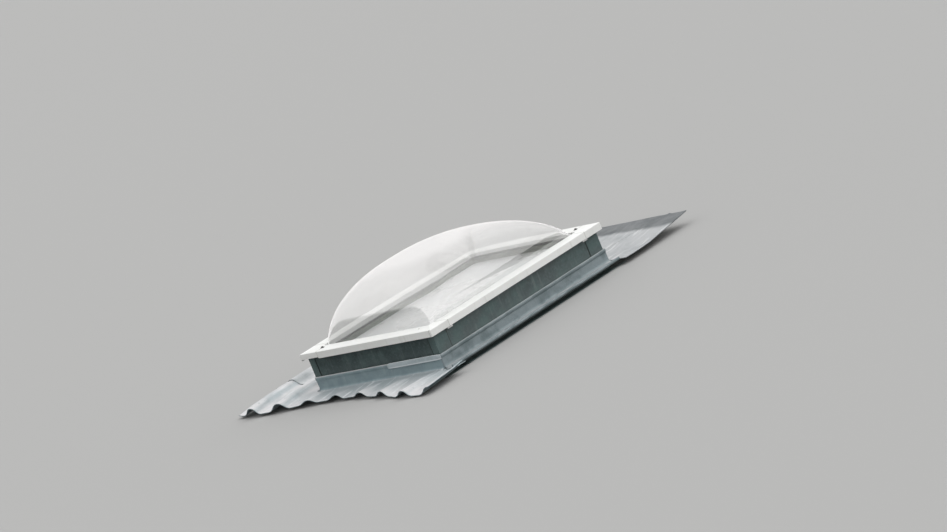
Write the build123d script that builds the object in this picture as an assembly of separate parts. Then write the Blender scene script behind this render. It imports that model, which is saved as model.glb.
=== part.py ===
from build123d import *
import os
from math import atan2, ceil, cos, floor, sin

# A fixed domed rooflight on a timber kerb, with its lead flashings.
# X runs across the roof slope, Y up the slope and Z square to the roof plane.
# The origin is the centre of the kerb's foot. All sizes are millimetres.

# White frame that clamps the dome
FRAME_WIDTH = 700.0
FRAME_LENGTH = 1000.0
FRAME_FACE = 68.0
FRAME_WALL = 3.0
FRAME_LEG = 16.0
SKIRT_HEIGHT = 26.0
FRAME_ROUND = 2.0
CHANNEL_CENTRE = 40.0
CHANNEL_GAP = 8.0
CHANNEL_WALL = 2.5
JOINT_GAP = 0.3
SKIRT_CORNER_ROUND = 6.0

# Corner pieces: leg along the front or back, leg along the side, raised lower edge
CORNER_PIECES = {
    "front_left": (91.0, 90.0, 5.0),
    "front_right": (8.0, 100.0, 0.0),
    "back_right": (90.0, 95.0, -1.5),
    "back_left": (90.0, 90.0, 0.0),
}

# Kerb: timber boards, folded sheet cladding with a foot flange, corner angles
KERB_HEIGHT = 150.0
KERB_INSET = 18.0
BOARD_THICK = 47.0
CLAD_SHEET = 1.5
CLAD_TOP_GAP = 0.5
CORNER_SHEET = 1.5
CORNER_BEND = 1.35
CORNER_LEG_END = 30.0
CORNER_LEG_SIDE = 70.0
FOOT_FLANGE = 50.0
FOOT_HOLE = 6.5
FOOT_HOLE_OUT = 30.0
FOOT_HOLE_FIRST = 60.0
FOOT_HOLES_END = 3
FOOT_HOLES_SIDE = 4
BOARD_SCREW_SHANK = 5.0
BOARD_SCREW_HEAD = 9.6
BOARD_SCREW_LENGTH = 100.0
BOARD_SCREW_LOW = 40.0
BOARD_SCREW_HIGH = 110.0

# Dome, its rim and its seals
DOME_SHEET = 3.0
DOME_RISE = 196.0
DOME_GAP = 1.0
DOME_FOOT_RADIUS = 20.0
DOME_LEAN = 30.0
RIM_INSET = 14.0
SEAL_THICK = 4.0
SEAL_INSET = 26.0
SEAL_WIDTH = 36.0
SEAL_ROUND = 4.0
GASKET_THICK = 2.0
GASKET_INSET = 31.0
GASKET_WIDTH = 36.5
DOME_LEVELS = (0.09, 0.25, 0.42, 0.58, 0.72, 0.83, 0.91, 0.96, 0.985, 0.997)
SIDE_POWER = 3.64
SIDE_ROOT = 0.184
END_POWER = 0.76
END_ROOT = 0.197
CORNER_POWER = 2.27
CORNER_TOP_SHARE = 0.96

# Flat inner pane and the beads that carry it
PANE_THICK = 4.0
PANE_GAP = 2.0
PANE_DROP = 17.0
PANE_TAPE = 3.0
PANE_TAPE_WIDTH = 12.0
BEAD_SIZE = 20.0
BEAD_ROUND = 4.0

# Frame fixings and the clips under the side skirts
SCREW_FROM_SIDE = 90.0
SCREW_SHANK = 5.5
SCREW_HOLE_GAP = 0.5
SCREW_LENGTH = 62.0
SCREW_HEAD = 9.0
SCREW_HEAD_HIGH = 3.5
SCREW_HEAD_EDGE = 1.2
WASHER_SIZE = 16.0
WASHER_THICK = 1.6
WASHER_EDGE = 0.8
CLIP_FROM_SEAM = 0.5
CLIP_WIDTH = 27.0
CLIP_SHEET = 1.5
CLIP_SHOWS = 7.0
CLIP_UNDER_SKIRT = 1.0

# Lead flashings
LEAD = 2.5
LEAD_GAP = 0.3
LAP_GAP = 0.6
LEAD_TOP = 76.0
LEAD_WELT = 14.0
LEAD_BED = 17.5
LEAD_BEND = 12.0
ROLL_PITCH = 150.0
ROLL_HEIGHT = 25.0
ROLL_WIDTH = 107.0
ROLL_PEAK_X = -4.0
APRON_FOLD = 20.0
APRON_HALF_WAY = 58.0
APRON_HALF_BED = 12.0
APRON_HALF_ROLL = 0.5
APRON_REACH = 245.0
APRON_EDGE_Z = 4.0
APRON_LEFT = 368.0
APRON_RIGHT = 118.0
APRON_EDGE_STEPS = (99.0, 119.0, 113.0, 176.0, 228.0)
WING_LENGTH = 172.0
RIGHT_WING_LENGTH = 70.0
LAP = 30.0
LAP_UNDER_BACK = 50.0
TONGUE_WIDTH = 58.0
RIGHT_GUTTER = 58.0
RIGHT_UPTURN = 14.0
STRIP_LENGTH = 274.0
STRIP_HEIGHT = 21.0
STRIP_ROUND = 8.0
STRIP_PAST_CORNER = 7.0
BACK_SIDE_REACH = 88.0
BACK_SOLE = 150.0
BACK_REACH = 398.0
BACK_RISE = 25.0
BACK_WELT = 18.0

# Levels and faces that follow from the sizes above
seal_top = KERB_HEIGHT + SEAL_THICK
rim_top = seal_top + DOME_SHEET
gasket_top = rim_top + GASKET_THICK
frame_top = gasket_top + FRAME_LEG
skirt_foot = frame_top - SKIRT_HEIGHT
clad_inset = KERB_INSET + CORNER_SHEET
board_inset = clad_inset + CLAD_SHEET
well_inset = board_inset + BOARD_THICK
lead_inset = KERB_INSET - LEAD_GAP
side_bed = LEAD_BED + LEAD + LAP_GAP
back_bed = side_bed + LEAD + LAP_GAP
pane_top = KERB_HEIGHT - PANE_DROP
tape_top = pane_top - PANE_THICK
bead_top = tape_top - PANE_TAPE

SIDES = {"front": (0, -1), "right": (1, 0), "back": (0, 1), "left": (-1, 0)}
CORNERS = {"front_left": (-1, -1), "front_right": (1, -1), "back_right": (1, 1), "back_left": (-1, 1)}


def block(x0, x1, y0, y1, z0, z1):
    """A box between two corners."""
    low = (min(x0, x1), min(y0, y1), min(z0, z1))
    size = (abs(x1 - x0), abs(y1 - y0), abs(z1 - z0))
    return Pos(*low) * Box(*size, align=(Align.MIN, Align.MIN, Align.MIN))


def half_sizes(inset):
    """Half width and half length of the frame's outline, moved in by inset."""
    return FRAME_WIDTH / 2 - inset, FRAME_LENGTH / 2 - inset


def side_run(side, inset):
    """Section plane at the start of a side (x inward, y up), and the side's length."""
    nx, ny = SIDES[side]
    half_w, half_l = half_sizes(inset)
    along = Vector(-ny, nx, 0)
    length = 2 * (half_w if ny else half_l)
    start = Vector(nx * half_w, ny * half_l, 0) - along * (length / 2)
    return Plane(origin=start, x_dir=(-nx, -ny, 0), z_dir=along), length


def plan_of(side, inset):
    """Plan plane at the start of a side (x along, y inward), and the side's length."""
    run, length = side_run(side, inset)
    return Plane(origin=run.origin, x_dir=run.z_dir, z_dir=(0, 0, 1)), length


def patch(u0, u1, z0, z1):
    """A rectangle in a section plane."""
    return Pos((u0 + u1) / 2, (z0 + z1) / 2) * Rectangle(u1 - u0, z1 - z0)


def prism(plane, outline, z0, z1):
    """A plan outline raised from z0 to z1."""
    face = make_face(Polyline(*outline, close=True))
    return extrude(plane * Pos(0, 0, z0) * face, amount=z1 - z0)


def ring(inset, width, z0, z1, outer_radius, inner_radius):
    """A flat rectangular ring with rounded corners."""
    half_w, half_l = half_sizes(inset)
    outer = RectangleRounded(2 * half_w, 2 * half_l, outer_radius)
    inner = RectangleRounded(2 * (half_w - width), 2 * (half_l - width), inner_radius)
    return extrude(Pos(0, 0, z0) * (outer - inner), amount=z1 - z0)


def frame_screw_places():
    """Plan places of the four screws that clamp the frame."""
    half_w, half_l = half_sizes(0)
    x, y = half_w - SCREW_FROM_SIDE, half_l - CHANNEL_CENTRE
    return [(sx * x, sy * y) for sx, sy in CORNERS.values()]


def upright(places, radius, z0, z1):
    """One vertical cylinder at each plan place."""
    return [Pos(x, y, z0) * extrude(Circle(radius), amount=z1 - z0) for x, y in places]


def cut(shape, tools):
    """The shape with each tool taken away."""
    for tool in tools:
        shape = shape - tool
    return shape


def screw_holes(z0, z1):
    """Clearance holes for the frame screws."""
    return upright(frame_screw_places(), SCREW_SHANK / 2 + SCREW_HOLE_GAP, z0, z1)


def board_screw_lines():
    """Starts and directions of the screws that join the boards at the corners."""
    half_w, half_l = half_sizes(board_inset)
    y = half_l - BOARD_THICK / 2
    heights = (BOARD_SCREW_LOW, BOARD_SCREW_HIGH)
    return [((sx * half_w, sy * y, z), -sx) for sx in (-1, 1) for sy in (-1, 1) for z in heights]


def board_screw(start, way):
    """One countersunk screw, driven along X from the face of a long board."""
    plane = Plane(origin=start, x_dir=(0, 1, 0), z_dir=(way, 0, 0))
    shank = extrude(plane * Circle(BOARD_SCREW_SHANK / 2), amount=BOARD_SCREW_LENGTH)
    depth = (BOARD_SCREW_HEAD - BOARD_SCREW_SHANK) / 2
    rim = plane * Circle(BOARD_SCREW_HEAD / 2)
    neck = plane * Pos(0, 0, depth) * Circle(BOARD_SCREW_SHANK / 2)
    return shank + loft([rim, neck])


def board_screw_solids():
    """The screws that join the boards, as separate solids."""
    return [board_screw(start, way) for start, way in board_screw_lines()]


def board_screws():
    """All the screws that join the boards."""
    return Compound(children=board_screw_solids())


def boards():
    """Four timber boards; the long ones run through and the short ones sit between them."""
    outer_w, outer_l = half_sizes(board_inset)
    inner_w, inner_l = half_sizes(well_inset)
    made = {
        "left": block(-outer_w, -inner_w, -outer_l, outer_l, 0, KERB_HEIGHT),
        "right": block(inner_w, outer_w, -outer_l, outer_l, 0, KERB_HEIGHT),
        "front": block(-inner_w, inner_w, -outer_l, -inner_l, 0, KERB_HEIGHT),
        "back": block(-inner_w, inner_w, inner_l, outer_l, 0, KERB_HEIGHT),
    }
    pilot = upright(frame_screw_places(), SCREW_SHANK / 2, frame_top - SCREW_LENGTH, KERB_HEIGHT)
    holes = pilot + board_screw_solids()
    return {side: cut(board, holes) for side, board in made.items()}


def foot_hole_places(side, length):
    """Places of the fixing holes along one foot flange, from the start of the side."""
    count = round(FOOT_HOLES_SIDE if side in ("left", "right") else FOOT_HOLES_END)
    step = (length - 2 * FOOT_HOLE_FIRST) / (count - 1)
    return [(FOOT_HOLE_FIRST + i * step, -FOOT_HOLE_OUT) for i in range(count)]


def cladding(side):
    """A folded sheet: an upright panel and a foot flange, mitred to its neighbours."""
    plane, length = plan_of(side, board_inset)
    gap = JOINT_GAP
    upright_panel = prism(plane, [(gap, 0), (length - gap, 0), (length - gap, -CLAD_SHEET),
                                  (gap, -CLAD_SHEET)], 0, KERB_HEIGHT - CLAD_TOP_GAP)
    flange = prism(plane, [(gap, 0), (length - gap, 0), (length + FOOT_FLANGE - gap, -FOOT_FLANGE),
                           (gap - FOOT_FLANGE, -FOOT_FLANGE)], 0, CLAD_SHEET)
    drills = [plane * Pos(s, u, 0) * extrude(Circle(FOOT_HOLE / 2), amount=2 * CLAD_SHEET)
              for s, u in foot_hole_places(side, length)]
    return cut(upright_panel + flange, drills)


def corner_angle(corner):
    """A folded angle that covers the joint between two cladding panels."""
    sx, sy = CORNERS[corner]
    half_w, half_l = half_sizes(KERB_INSET)
    along_end = block(sx * half_w, sx * (half_w - CORNER_LEG_END), sy * half_l,
                      sy * (half_l - CORNER_SHEET), CLAD_SHEET, KERB_HEIGHT - CLAD_TOP_GAP)
    along_side = block(sx * half_w, sx * (half_w - CORNER_SHEET), sy * half_l,
                       sy * (half_l - CORNER_LEG_SIDE), CLAD_SHEET, KERB_HEIGHT - CLAD_TOP_GAP)
    angle = along_end + along_side
    bend = angle.edges().filter_by(Axis.Z).sort_by_distance((sx * half_w, sy * half_l, KERB_HEIGHT / 2))[0]
    return fillet(bend, CORNER_BEND)


def frame_section():
    """Section of the white frame: skirt, top, bearing leg and screw channel."""
    left = CHANNEL_CENTRE - CHANNEL_GAP / 2
    right = CHANNEL_CENTRE + CHANNEL_GAP / 2
    under = frame_top - FRAME_WALL
    section = patch(0, FRAME_FACE, under, frame_top)
    section += patch(0, FRAME_WALL, skirt_foot, frame_top)
    section += patch(FRAME_FACE - FRAME_WALL, FRAME_FACE, gasket_top, frame_top)
    section += patch(left - CHANNEL_WALL, left, gasket_top, under)
    section += patch(right, right + CHANNEL_WALL, gasket_top, under)
    for u in (0, FRAME_FACE):
        corner = section.vertices().sort_by_distance((u, frame_top, 0))[0]
        section = fillet(corner, FRAME_ROUND)
    return section


def leg_at(side, corner):
    """Length that a corner piece takes from the end of a side's skirt."""
    end_leg, side_leg, _ = CORNER_PIECES[corner]
    return side_leg if side in ("left", "right") else end_leg


def trim(side):
    """One mitred length of the white frame, with its skirt cut back for the corner pieces."""
    run, length = side_run(side, 0)
    plane, _ = plan_of(side, 0)
    bar = extrude(run * frame_section(), amount=length)
    wedge = prism(plane, [(0, 0), (length, 0), (length - FRAME_FACE, FRAME_FACE),
                          (FRAME_FACE, FRAME_FACE)], skirt_foot, frame_top)
    bar = bar & wedge
    ends = {"front": ("front_left", "front_right"), "right": ("front_right", "back_right"),
            "back": ("back_right", "back_left"), "left": ("back_left", "front_left")}[side]
    first, last = (leg_at(side, corner) for corner in ends)
    low, high = skirt_foot - FRAME_WALL, frame_top - FRAME_WALL
    for s0, s1 in ((0, first), (length - last, length)):
        bar = bar - prism(plane, [(s0, 0), (s1, 0), (s1, FRAME_WALL), (s0, FRAME_WALL)], low, high)
    if side == "front":
        lower_end = plane.from_local_coords((first, FRAME_WALL / 2, skirt_foot))
        edge = bar.edges().filter_by(Axis.Y).sort_by_distance(lower_end)[0]
        bar = fillet(edge, SKIRT_CORNER_ROUND)
    return cut(bar, screw_holes(gasket_top, frame_top))


def corner_piece(corner):
    """The angled end of the skirt at one corner of the frame."""
    sx, sy = CORNERS[corner]
    end_leg, side_leg, lift = CORNER_PIECES[corner]
    half_w, half_l = half_sizes(0)
    low, high = skirt_foot + lift, frame_top - FRAME_WALL
    along_end = block(sx * half_w, sx * (half_w - end_leg + JOINT_GAP), sy * half_l,
                      sy * (half_l - FRAME_WALL), low, high)
    along_side = block(sx * half_w, sx * (half_w - FRAME_WALL), sy * half_l,
                       sy * (half_l - side_leg + JOINT_GAP), min(low, skirt_foot), high)
    return along_end + along_side


def dome_outline(level, foot_w, foot_l, foot_z, rise, radius):
    """One horizontal outline of the dome at a share of its rise; the crown leans to the front."""
    half_w = foot_w * (1 - level ** SIDE_POWER) ** SIDE_ROOT
    half_l = foot_l * (1 - level ** END_POWER) ** END_ROOT
    widest = min(half_w, half_l)
    corner = radius + (CORNER_TOP_SHARE * widest - radius) * level ** CORNER_POWER
    place = Pos(0, -DOME_LEAN * level, foot_z + rise * level)
    return place * RectangleRounded(2 * half_w, 2 * half_l, corner)


def dome_body(shrink, base):
    """A solid dome, smaller than the outer face by shrink and standing on base."""
    foot_w, foot_l = half_sizes(FRAME_FACE + DOME_GAP + shrink)
    radius = DOME_FOOT_RADIUS - shrink
    rise = DOME_RISE - shrink
    outlines = [Pos(0, 0, base) * RectangleRounded(2 * foot_w, 2 * foot_l, radius)]
    outlines += [dome_outline(level, foot_w, foot_l, rim_top, rise, radius) for level in DOME_LEVELS]
    return loft(outlines)


def dome():
    """The formed clear dome with its flat rim."""
    half_w, half_l = half_sizes(RIM_INSET)
    rim = Pos(0, 0, seal_top) * RectangleRounded(2 * half_w, 2 * half_l, DOME_FOOT_RADIUS)
    shell = extrude(rim, amount=DOME_SHEET) + dome_body(0, seal_top + DOME_SHEET / 2)
    shell = shell - dome_body(DOME_SHEET, seal_top - DOME_SHEET)
    return cut(shell, screw_holes(seal_top, rim_top))


def pane_parts():
    """The flat inner pane, its bedding tape and the four beads below it."""
    half_w, half_l = half_sizes(well_inset + PANE_GAP)
    parts = {"inner_pane": block(-half_w, half_w, -half_l, half_l, tape_top, pane_top)}
    tape_inset = well_inset + PANE_GAP
    parts["pane_tape"] = ring(tape_inset, PANE_TAPE_WIDTH, bead_top, tape_top, PANE_TAPE / 2, PANE_TAPE / 2)
    for side in SIDES:
        run, length = side_run(side, well_inset)
        plane, _ = plan_of(side, well_inset)
        section = patch(0, BEAD_SIZE, bead_top - BEAD_SIZE, bead_top)
        edge = section.vertices().sort_by_distance((BEAD_SIZE, bead_top - BEAD_SIZE, 0))[0]
        bar = extrude(run * fillet(edge, BEAD_ROUND), amount=length)
        wedge = prism(plane, [(0, 0), (length, 0), (length - BEAD_SIZE, BEAD_SIZE),
                              (BEAD_SIZE, BEAD_SIZE)], bead_top - BEAD_SIZE, bead_top)
        parts["pane_bead_" + side] = bar & wedge
    return parts


def frame_screws():
    """The four screws that clamp the frame, the dome's rim and the seals to the boards."""
    seat = frame_top + WASHER_THICK
    shanks = upright(frame_screw_places(), SCREW_SHANK / 2, frame_top - SCREW_LENGTH, seat)
    screws = []
    for shank, (x, y) in zip(shanks, frame_screw_places()):
        head = Pos(x, y, seat) * extrude(Circle(SCREW_HEAD / 2), amount=SCREW_HEAD_HIGH)
        top = head.edges().group_by(Axis.Z)[-1]
        screws.append(shank + chamfer(top, SCREW_HEAD_EDGE))
    return Compound(children=screws)


def frame_washers():
    """The dished sealing washers under the screw heads."""
    washers = []
    for x, y in frame_screw_places():
        face = Circle(WASHER_SIZE / 2) - Circle(SCREW_SHANK / 2)
        washer = Pos(x, y, frame_top) * extrude(face, amount=WASHER_THICK)
        rim = washer.edges().group_by(Axis.Z)[-1].sort_by(SortBy.RADIUS)[-1]
        washers.append(chamfer(rim, WASHER_EDGE))
    return Compound(children=washers)


def clips():
    """Folded clips that hook the side skirts to the kerb."""
    face, _ = half_sizes(clad_inset)
    skirt, _ = half_sizes(FRAME_WALL)
    top = skirt_foot + CLIP_UNDER_SKIRT
    far_y = FRAME_LENGTH / 2 - KERB_INSET - CORNER_LEG_SIDE - CLIP_FROM_SEAM
    made = []
    for sx in (-1, 1):
        for sy in (-1, 1):
            y0, y1 = sy * (far_y - CLIP_WIDTH), sy * far_y
            shelf = block(sx * face, sx * skirt, y0, y1, top - CLIP_SHEET, top)
            lip = block(sx * (skirt - CLIP_SHEET), sx * skirt, y0, y1, skirt_foot - CLIP_SHOWS, top)
            made.append(shelf + lip)
    return Compound(children=made)


def roll_line(y, peak, base, height):
    """One roll from foot to foot: three tangent arcs, or three flat runs where it has no height."""
    half = ROLL_WIDTH / 2
    xs = (peak - half, peak - half / 2, peak + half / 2, peak + half)
    levels = (base, base + height / 2, base + height / 2, base)
    ends = [Vector(x, y, z) for x, z in zip(xs, levels)]
    if height == 0:
        return [Line(first, last) for first, last in zip(ends, ends[1:])]
    turn = 2 * atan2(height, half)
    radius = half / (2 * sin(turn))
    across, up = radius * sin(turn / 2), radius * (1 - cos(turn / 2))
    middles = [Vector(xs[0] + across, y, base + up), Vector(peak, y, base + height),
               Vector(xs[3] - across, y, base + up)]
    return [ThreePointArc(first, middle, last) for first, middle, last in zip(ends, middles, ends[1:])]


def roll_peaks(x0, x1):
    """Places of the tile rolls whose span touches x0 to x1."""
    half = ROLL_WIDTH / 2
    first = ceil((x0 - half - ROLL_PEAK_X) / ROLL_PITCH)
    last = floor((x1 + half - ROLL_PEAK_X) / ROLL_PITCH)
    return [ROLL_PEAK_X + i * ROLL_PITCH for i in range(first, last + 1)]


def rolled_face(y, x0, x1, base, height_of):
    """Cross-section at y of a sheet over every roll from x0 to x1, with flat runs between them."""
    peaks = roll_peaks(x0, x1)
    half = ROLL_WIDTH / 2
    left = min(x0, peaks[0] - half) - LAP
    right = max(x1, peaks[-1] + half) + LAP
    low = []
    at = Vector(left, y, base)
    for peak in peaks:
        foot = Vector(peak - half, y, base)
        low += [Line(at, foot)] + roll_line(y, peak, base, height_of(peak))
        at = Vector(peak + half, y, base)
    low.append(Line(at, Vector(right, y, base)))
    high = [Pos(0, 0, LEAD) * edge for edge in low]
    corners = (low[0] @ 0, low[-1] @ 1)
    ends = [Line(corner, corner + Vector(0, 0, LEAD)) for corner in corners]
    return make_face(low + high + ends)


def upstand_section(bed, reach, bend):
    """Section of a lead upstand with a welted top and a short sheet at its foot."""
    outline = Polyline((0, LEAD_TOP), (0, bed), (-reach, bed), (-reach, bed + LEAD),
                       (-LEAD, bed + LEAD), (-LEAD, LEAD_TOP - LEAD_WELT),
                       (-2 * LEAD, LEAD_TOP - LEAD_WELT), (-2 * LEAD, LEAD_TOP), close=True)
    section = make_face(outline)
    inner = section.vertices().sort_by_distance((-LEAD, bed + LEAD, 0))[0]
    section = fillet(inner, bend)
    outer = section.vertices().sort_by_distance((0, bed, 0))[0]
    return fillet(outer, bend + LEAD)


def roll_height(peak, share):
    """Height of a roll: full beside the kerb, and a share of it where the roll meets the kerb."""
    half_w, _ = half_sizes(lead_inset)
    beside = abs(peak) - ROLL_WIDTH / 2 >= half_w + APRON_FOLD
    return ROLL_HEIGHT if beside else share * ROLL_HEIGHT


def lead_apron():
    """The front apron: an upstand on the kerb, a sheet over the rolls and a wing beside the kerb."""
    run, length = side_run("front", lead_inset)
    section = upstand_section(LEAD_BED, APRON_FOLD, LEAD_BEND)
    upstand = extrude(run * section, amount=length)
    half_w, half_l = half_sizes(lead_inset)
    fold_y = -half_l - APRON_FOLD
    x0, x1 = -half_w - APRON_LEFT, half_w + APRON_RIGHT
    rows = [(fold_y, LEAD_BED, 0.0), (fold_y - APRON_HALF_WAY, APRON_HALF_BED, APRON_HALF_ROLL),
            (fold_y - APRON_REACH, APRON_EDGE_Z, 1.0)]
    faces = [rolled_face(y, x0, x1, base, lambda peak, share=share: roll_height(peak, share))
             for y, base, share in rows]
    wing_end = fold_y + WING_LENGTH
    sheet = loft(faces, ruled=True) & block(x0, x1, fold_y - APRON_REACH, fold_y, 0, KERB_HEIGHT)
    wing = extrude(faces[0], amount=WING_LENGTH, dir=(0, 1, 0))
    right_end = fold_y + RIGHT_WING_LENGTH
    wings = [wing & block(x0, -half_w, fold_y, wing_end, 0, KERB_HEIGHT),
             wing & block(half_w, half_w + RIGHT_GUTTER, fold_y, right_end, 0, KERB_HEIGHT)]
    edge_x = [x0 + (x1 - x0) * i / (len(APRON_EDGE_STEPS) - 1) for i in range(len(APRON_EDGE_STEPS))]
    edge = Spline(*[(x, -half_l - step) for x, step in zip(edge_x, APRON_EDGE_STEPS)])
    far = fold_y - APRON_REACH - LAP
    outside = make_face([edge, Line(edge @ 1, (x1, far)), Line((x1, far), (x0, far)),
                         Line((x0, far), edge @ 0)])
    sheet = sheet - extrude(outside, amount=KERB_HEIGHT)
    return upstand + sheet + wings[0] + wings[1]


def lead_left():
    """The left flashing: an upstand and a wide sheet over the rolls, lapped on the apron's wing."""
    run, length = side_run("left", lead_inset)
    half_w, half_l = half_sizes(lead_inset)
    section = upstand_section(side_bed, APRON_FOLD, LEAD_BEND)
    upstand = extrude(run * section, amount=length)
    front_y = -half_l - APRON_FOLD + WING_LENGTH - LAP
    x0, x1 = -half_w - APRON_LEFT, -half_w - APRON_FOLD
    face = rolled_face(front_y, x0, x1, side_bed, lambda peak: roll_height(peak, 0.0))
    sheet = extrude(face, amount=half_l - front_y, dir=(0, 1, 0))
    sheet = sheet & block(x0, x1, front_y, half_l, 0, KERB_HEIGHT)
    wing_room = block(x1 - LEAD, -half_w - 2 * LEAD, -half_l, front_y, 0, side_bed + LEAD)
    tongue = block(-half_w, -half_w - TONGUE_WIDTH, half_l - LAP, half_l + LAP_UNDER_BACK,
                   side_bed, side_bed + LEAD)
    return upstand - wing_room + sheet + tongue


def lead_right():
    """The right flashing: an upstand and a narrow gutter, lapped on the apron and under the back gutter."""
    half_w, half_l = half_sizes(lead_inset)
    run, length = side_run("right", lead_inset)
    section = upstand_section(side_bed, RIGHT_GUTTER, LEAD_BEND)
    upstand = extrude(run * Pos(0, 0, -2 * LEAD) * section, amount=length + 4 * LEAD)
    x0, x1 = half_w + APRON_FOLD, half_w + RIGHT_GUTTER
    front_y = -half_l - APRON_FOLD
    floor = block(x0, x1, front_y, half_l + LAP_UNDER_BACK, side_bed, side_bed + LEAD)
    upturn = block(x1 - LEAD, x1, front_y, half_l, side_bed, side_bed + RIGHT_UPTURN)
    return upstand + floor + upturn


def lead_strip():
    """The lead strip lapped over the top edge of the apron's upstand."""
    half_w, half_l = half_sizes(lead_inset)
    y0 = -half_l - 2 * LEAD - LEAD_GAP
    x0, x1 = half_w - STRIP_LENGTH, half_w + STRIP_PAST_CORNER
    plate = block(x0, x1, y0 - LEAD, y0, LEAD_TOP + LEAD - STRIP_HEIGHT, LEAD_TOP + LEAD)
    return fillet(plate.edges().filter_by(Axis.Y), STRIP_ROUND)


def lead_back():
    """The back gutter: an upstand, a flat sole and a sheet rising up the slope."""
    half_w, half_l = half_sizes(lead_inset)
    section = upstand_section(back_bed, BACK_SOLE, LEAD_BEND)
    top = back_bed + BACK_RISE
    ramp = make_face(Polyline((-BACK_SOLE, back_bed), (-BACK_REACH, top), (-BACK_REACH, top + LEAD),
                              (-BACK_SOLE, back_bed + LEAD), close=True))
    welt = patch(-BACK_REACH, -BACK_REACH + BACK_WELT, top, top + 2 * LEAD)
    x_end = half_w + BACK_SIDE_REACH
    plane = Plane(origin=(x_end, half_l, 0), x_dir=(0, -1, 0), z_dir=(-1, 0, 0))
    sheet = extrude(plane * (section + ramp + welt), amount=2 * x_end)
    fold_y = half_l + APRON_FOLD
    keep = block(-x_end, x_end, fold_y, half_l + BACK_REACH, 0, KERB_HEIGHT)
    upstand = block(-half_w, half_w, half_l, fold_y, 0, KERB_HEIGHT)
    gutter = sheet & (keep + upstand)
    for sx in (-1, 1):
        gutter += block(sx * half_w, sx * x_end, half_l + 2 * LEAD, fold_y, back_bed, back_bed + LEAD)
    return gutter


def all_parts():
    """Every named piece of the rooflight."""
    parts = {"dome": dome(), "frame_screws": frame_screws(), "frame_washers": frame_washers(),
             "skirt_clips": clips(), "board_screws": board_screws()}
    seal = ring(SEAL_INSET, SEAL_WIDTH, KERB_HEIGHT, seal_top, SEAL_ROUND, SEAL_ROUND)
    parts["dome_seal"] = cut(seal, screw_holes(KERB_HEIGHT, seal_top))
    gasket = ring(GASKET_INSET, GASKET_WIDTH, rim_top, gasket_top, SEAL_ROUND, SEAL_ROUND)
    parts["frame_gasket"] = cut(gasket, screw_holes(rim_top, gasket_top))
    parts.update(pane_parts())
    made = boards()
    for side in SIDES:
        parts["kerb_board_" + side] = made[side]
        parts["cladding_" + side] = cladding(side)
        parts["frame_" + side] = trim(side)
    for corner in CORNERS:
        parts["kerb_corner_" + corner] = corner_angle(corner)
        parts["frame_corner_" + corner] = corner_piece(corner)
    parts["lead_apron"] = lead_apron()
    parts["lead_side_left"] = lead_left()
    parts["lead_side_right"] = lead_right()
    parts["lead_top_strip"] = lead_strip()
    parts["lead_back_gutter"] = lead_back()
    return parts


os.makedirs("parts", exist_ok=True)
for name, shape in all_parts().items():
    shape.label = name
    export_step(shape, "parts/" + name + ".step")
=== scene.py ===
"""Dresses a fixed domed rooflight, its dark kerb and its lead flashings for a plain studio picture."""
import logging
import math
from dataclasses import dataclass, field
from enum import Enum

import bmesh
import bpy
from mathutils import Matrix, Vector, noise


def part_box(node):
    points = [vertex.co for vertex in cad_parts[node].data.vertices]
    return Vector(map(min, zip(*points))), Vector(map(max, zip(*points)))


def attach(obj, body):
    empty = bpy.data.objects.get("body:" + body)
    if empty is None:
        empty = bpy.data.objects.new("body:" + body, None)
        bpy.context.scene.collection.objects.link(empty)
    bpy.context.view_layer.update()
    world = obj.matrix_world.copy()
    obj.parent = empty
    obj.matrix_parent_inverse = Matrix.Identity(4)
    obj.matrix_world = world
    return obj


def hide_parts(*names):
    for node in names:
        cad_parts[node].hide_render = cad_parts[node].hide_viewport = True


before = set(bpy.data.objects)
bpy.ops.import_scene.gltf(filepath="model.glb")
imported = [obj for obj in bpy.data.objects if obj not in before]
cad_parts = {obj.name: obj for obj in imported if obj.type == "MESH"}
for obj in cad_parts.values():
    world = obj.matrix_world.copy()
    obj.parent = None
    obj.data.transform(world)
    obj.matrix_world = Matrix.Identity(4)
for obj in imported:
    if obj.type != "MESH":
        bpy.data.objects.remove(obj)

LOG = logging.getLogger("rooflight")
BODY = "root"
LEAD_SLOT = "lead_sheet"
UP = Vector((0, 0, 1))
QUARTER = math.pi / 2

Colour = tuple[float, float, float, float]
Way = tuple[float, float, float]
Grid = list[list[Vector]]
Socket = bpy.types.NodeSocket
Material = bpy.types.Material
Piece = bpy.types.Object


class Side(Enum):
    """The four sides of the rooflight, each with its outward direction in plan."""

    FRONT = (0, -1)
    RIGHT = (1, 0)
    BACK = (0, 1)
    LEFT = (-1, 0)

    @property
    def outward(self) -> Vector:
        """The direction away from the light well."""
        return Vector((self.value[0], self.value[1], 0))

    @property
    def along(self) -> Vector:
        """The direction along the side, with the light well on the left."""
        return Vector((-self.value[1], self.value[0], 0))

    @property
    def axis(self) -> int:
        """The axis along the side, 0 for x or 1 for y."""
        return abs(self.value[0])

    @property
    def label(self) -> str:
        """The side's name as the solids' names have it."""
        return self.name.lower()


class Effect(Enum):
    """Surface effects that several finishes share."""

    PATCHES = "soft patches"
    STREAKS = "rain streaks"
    GRAIN = "fine grain"
    EDGES = "edge wear"
    FACING = "faces turned up"
    HEIGHT = "height band"
    LINE = "straight line"


# Shader trees

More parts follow.
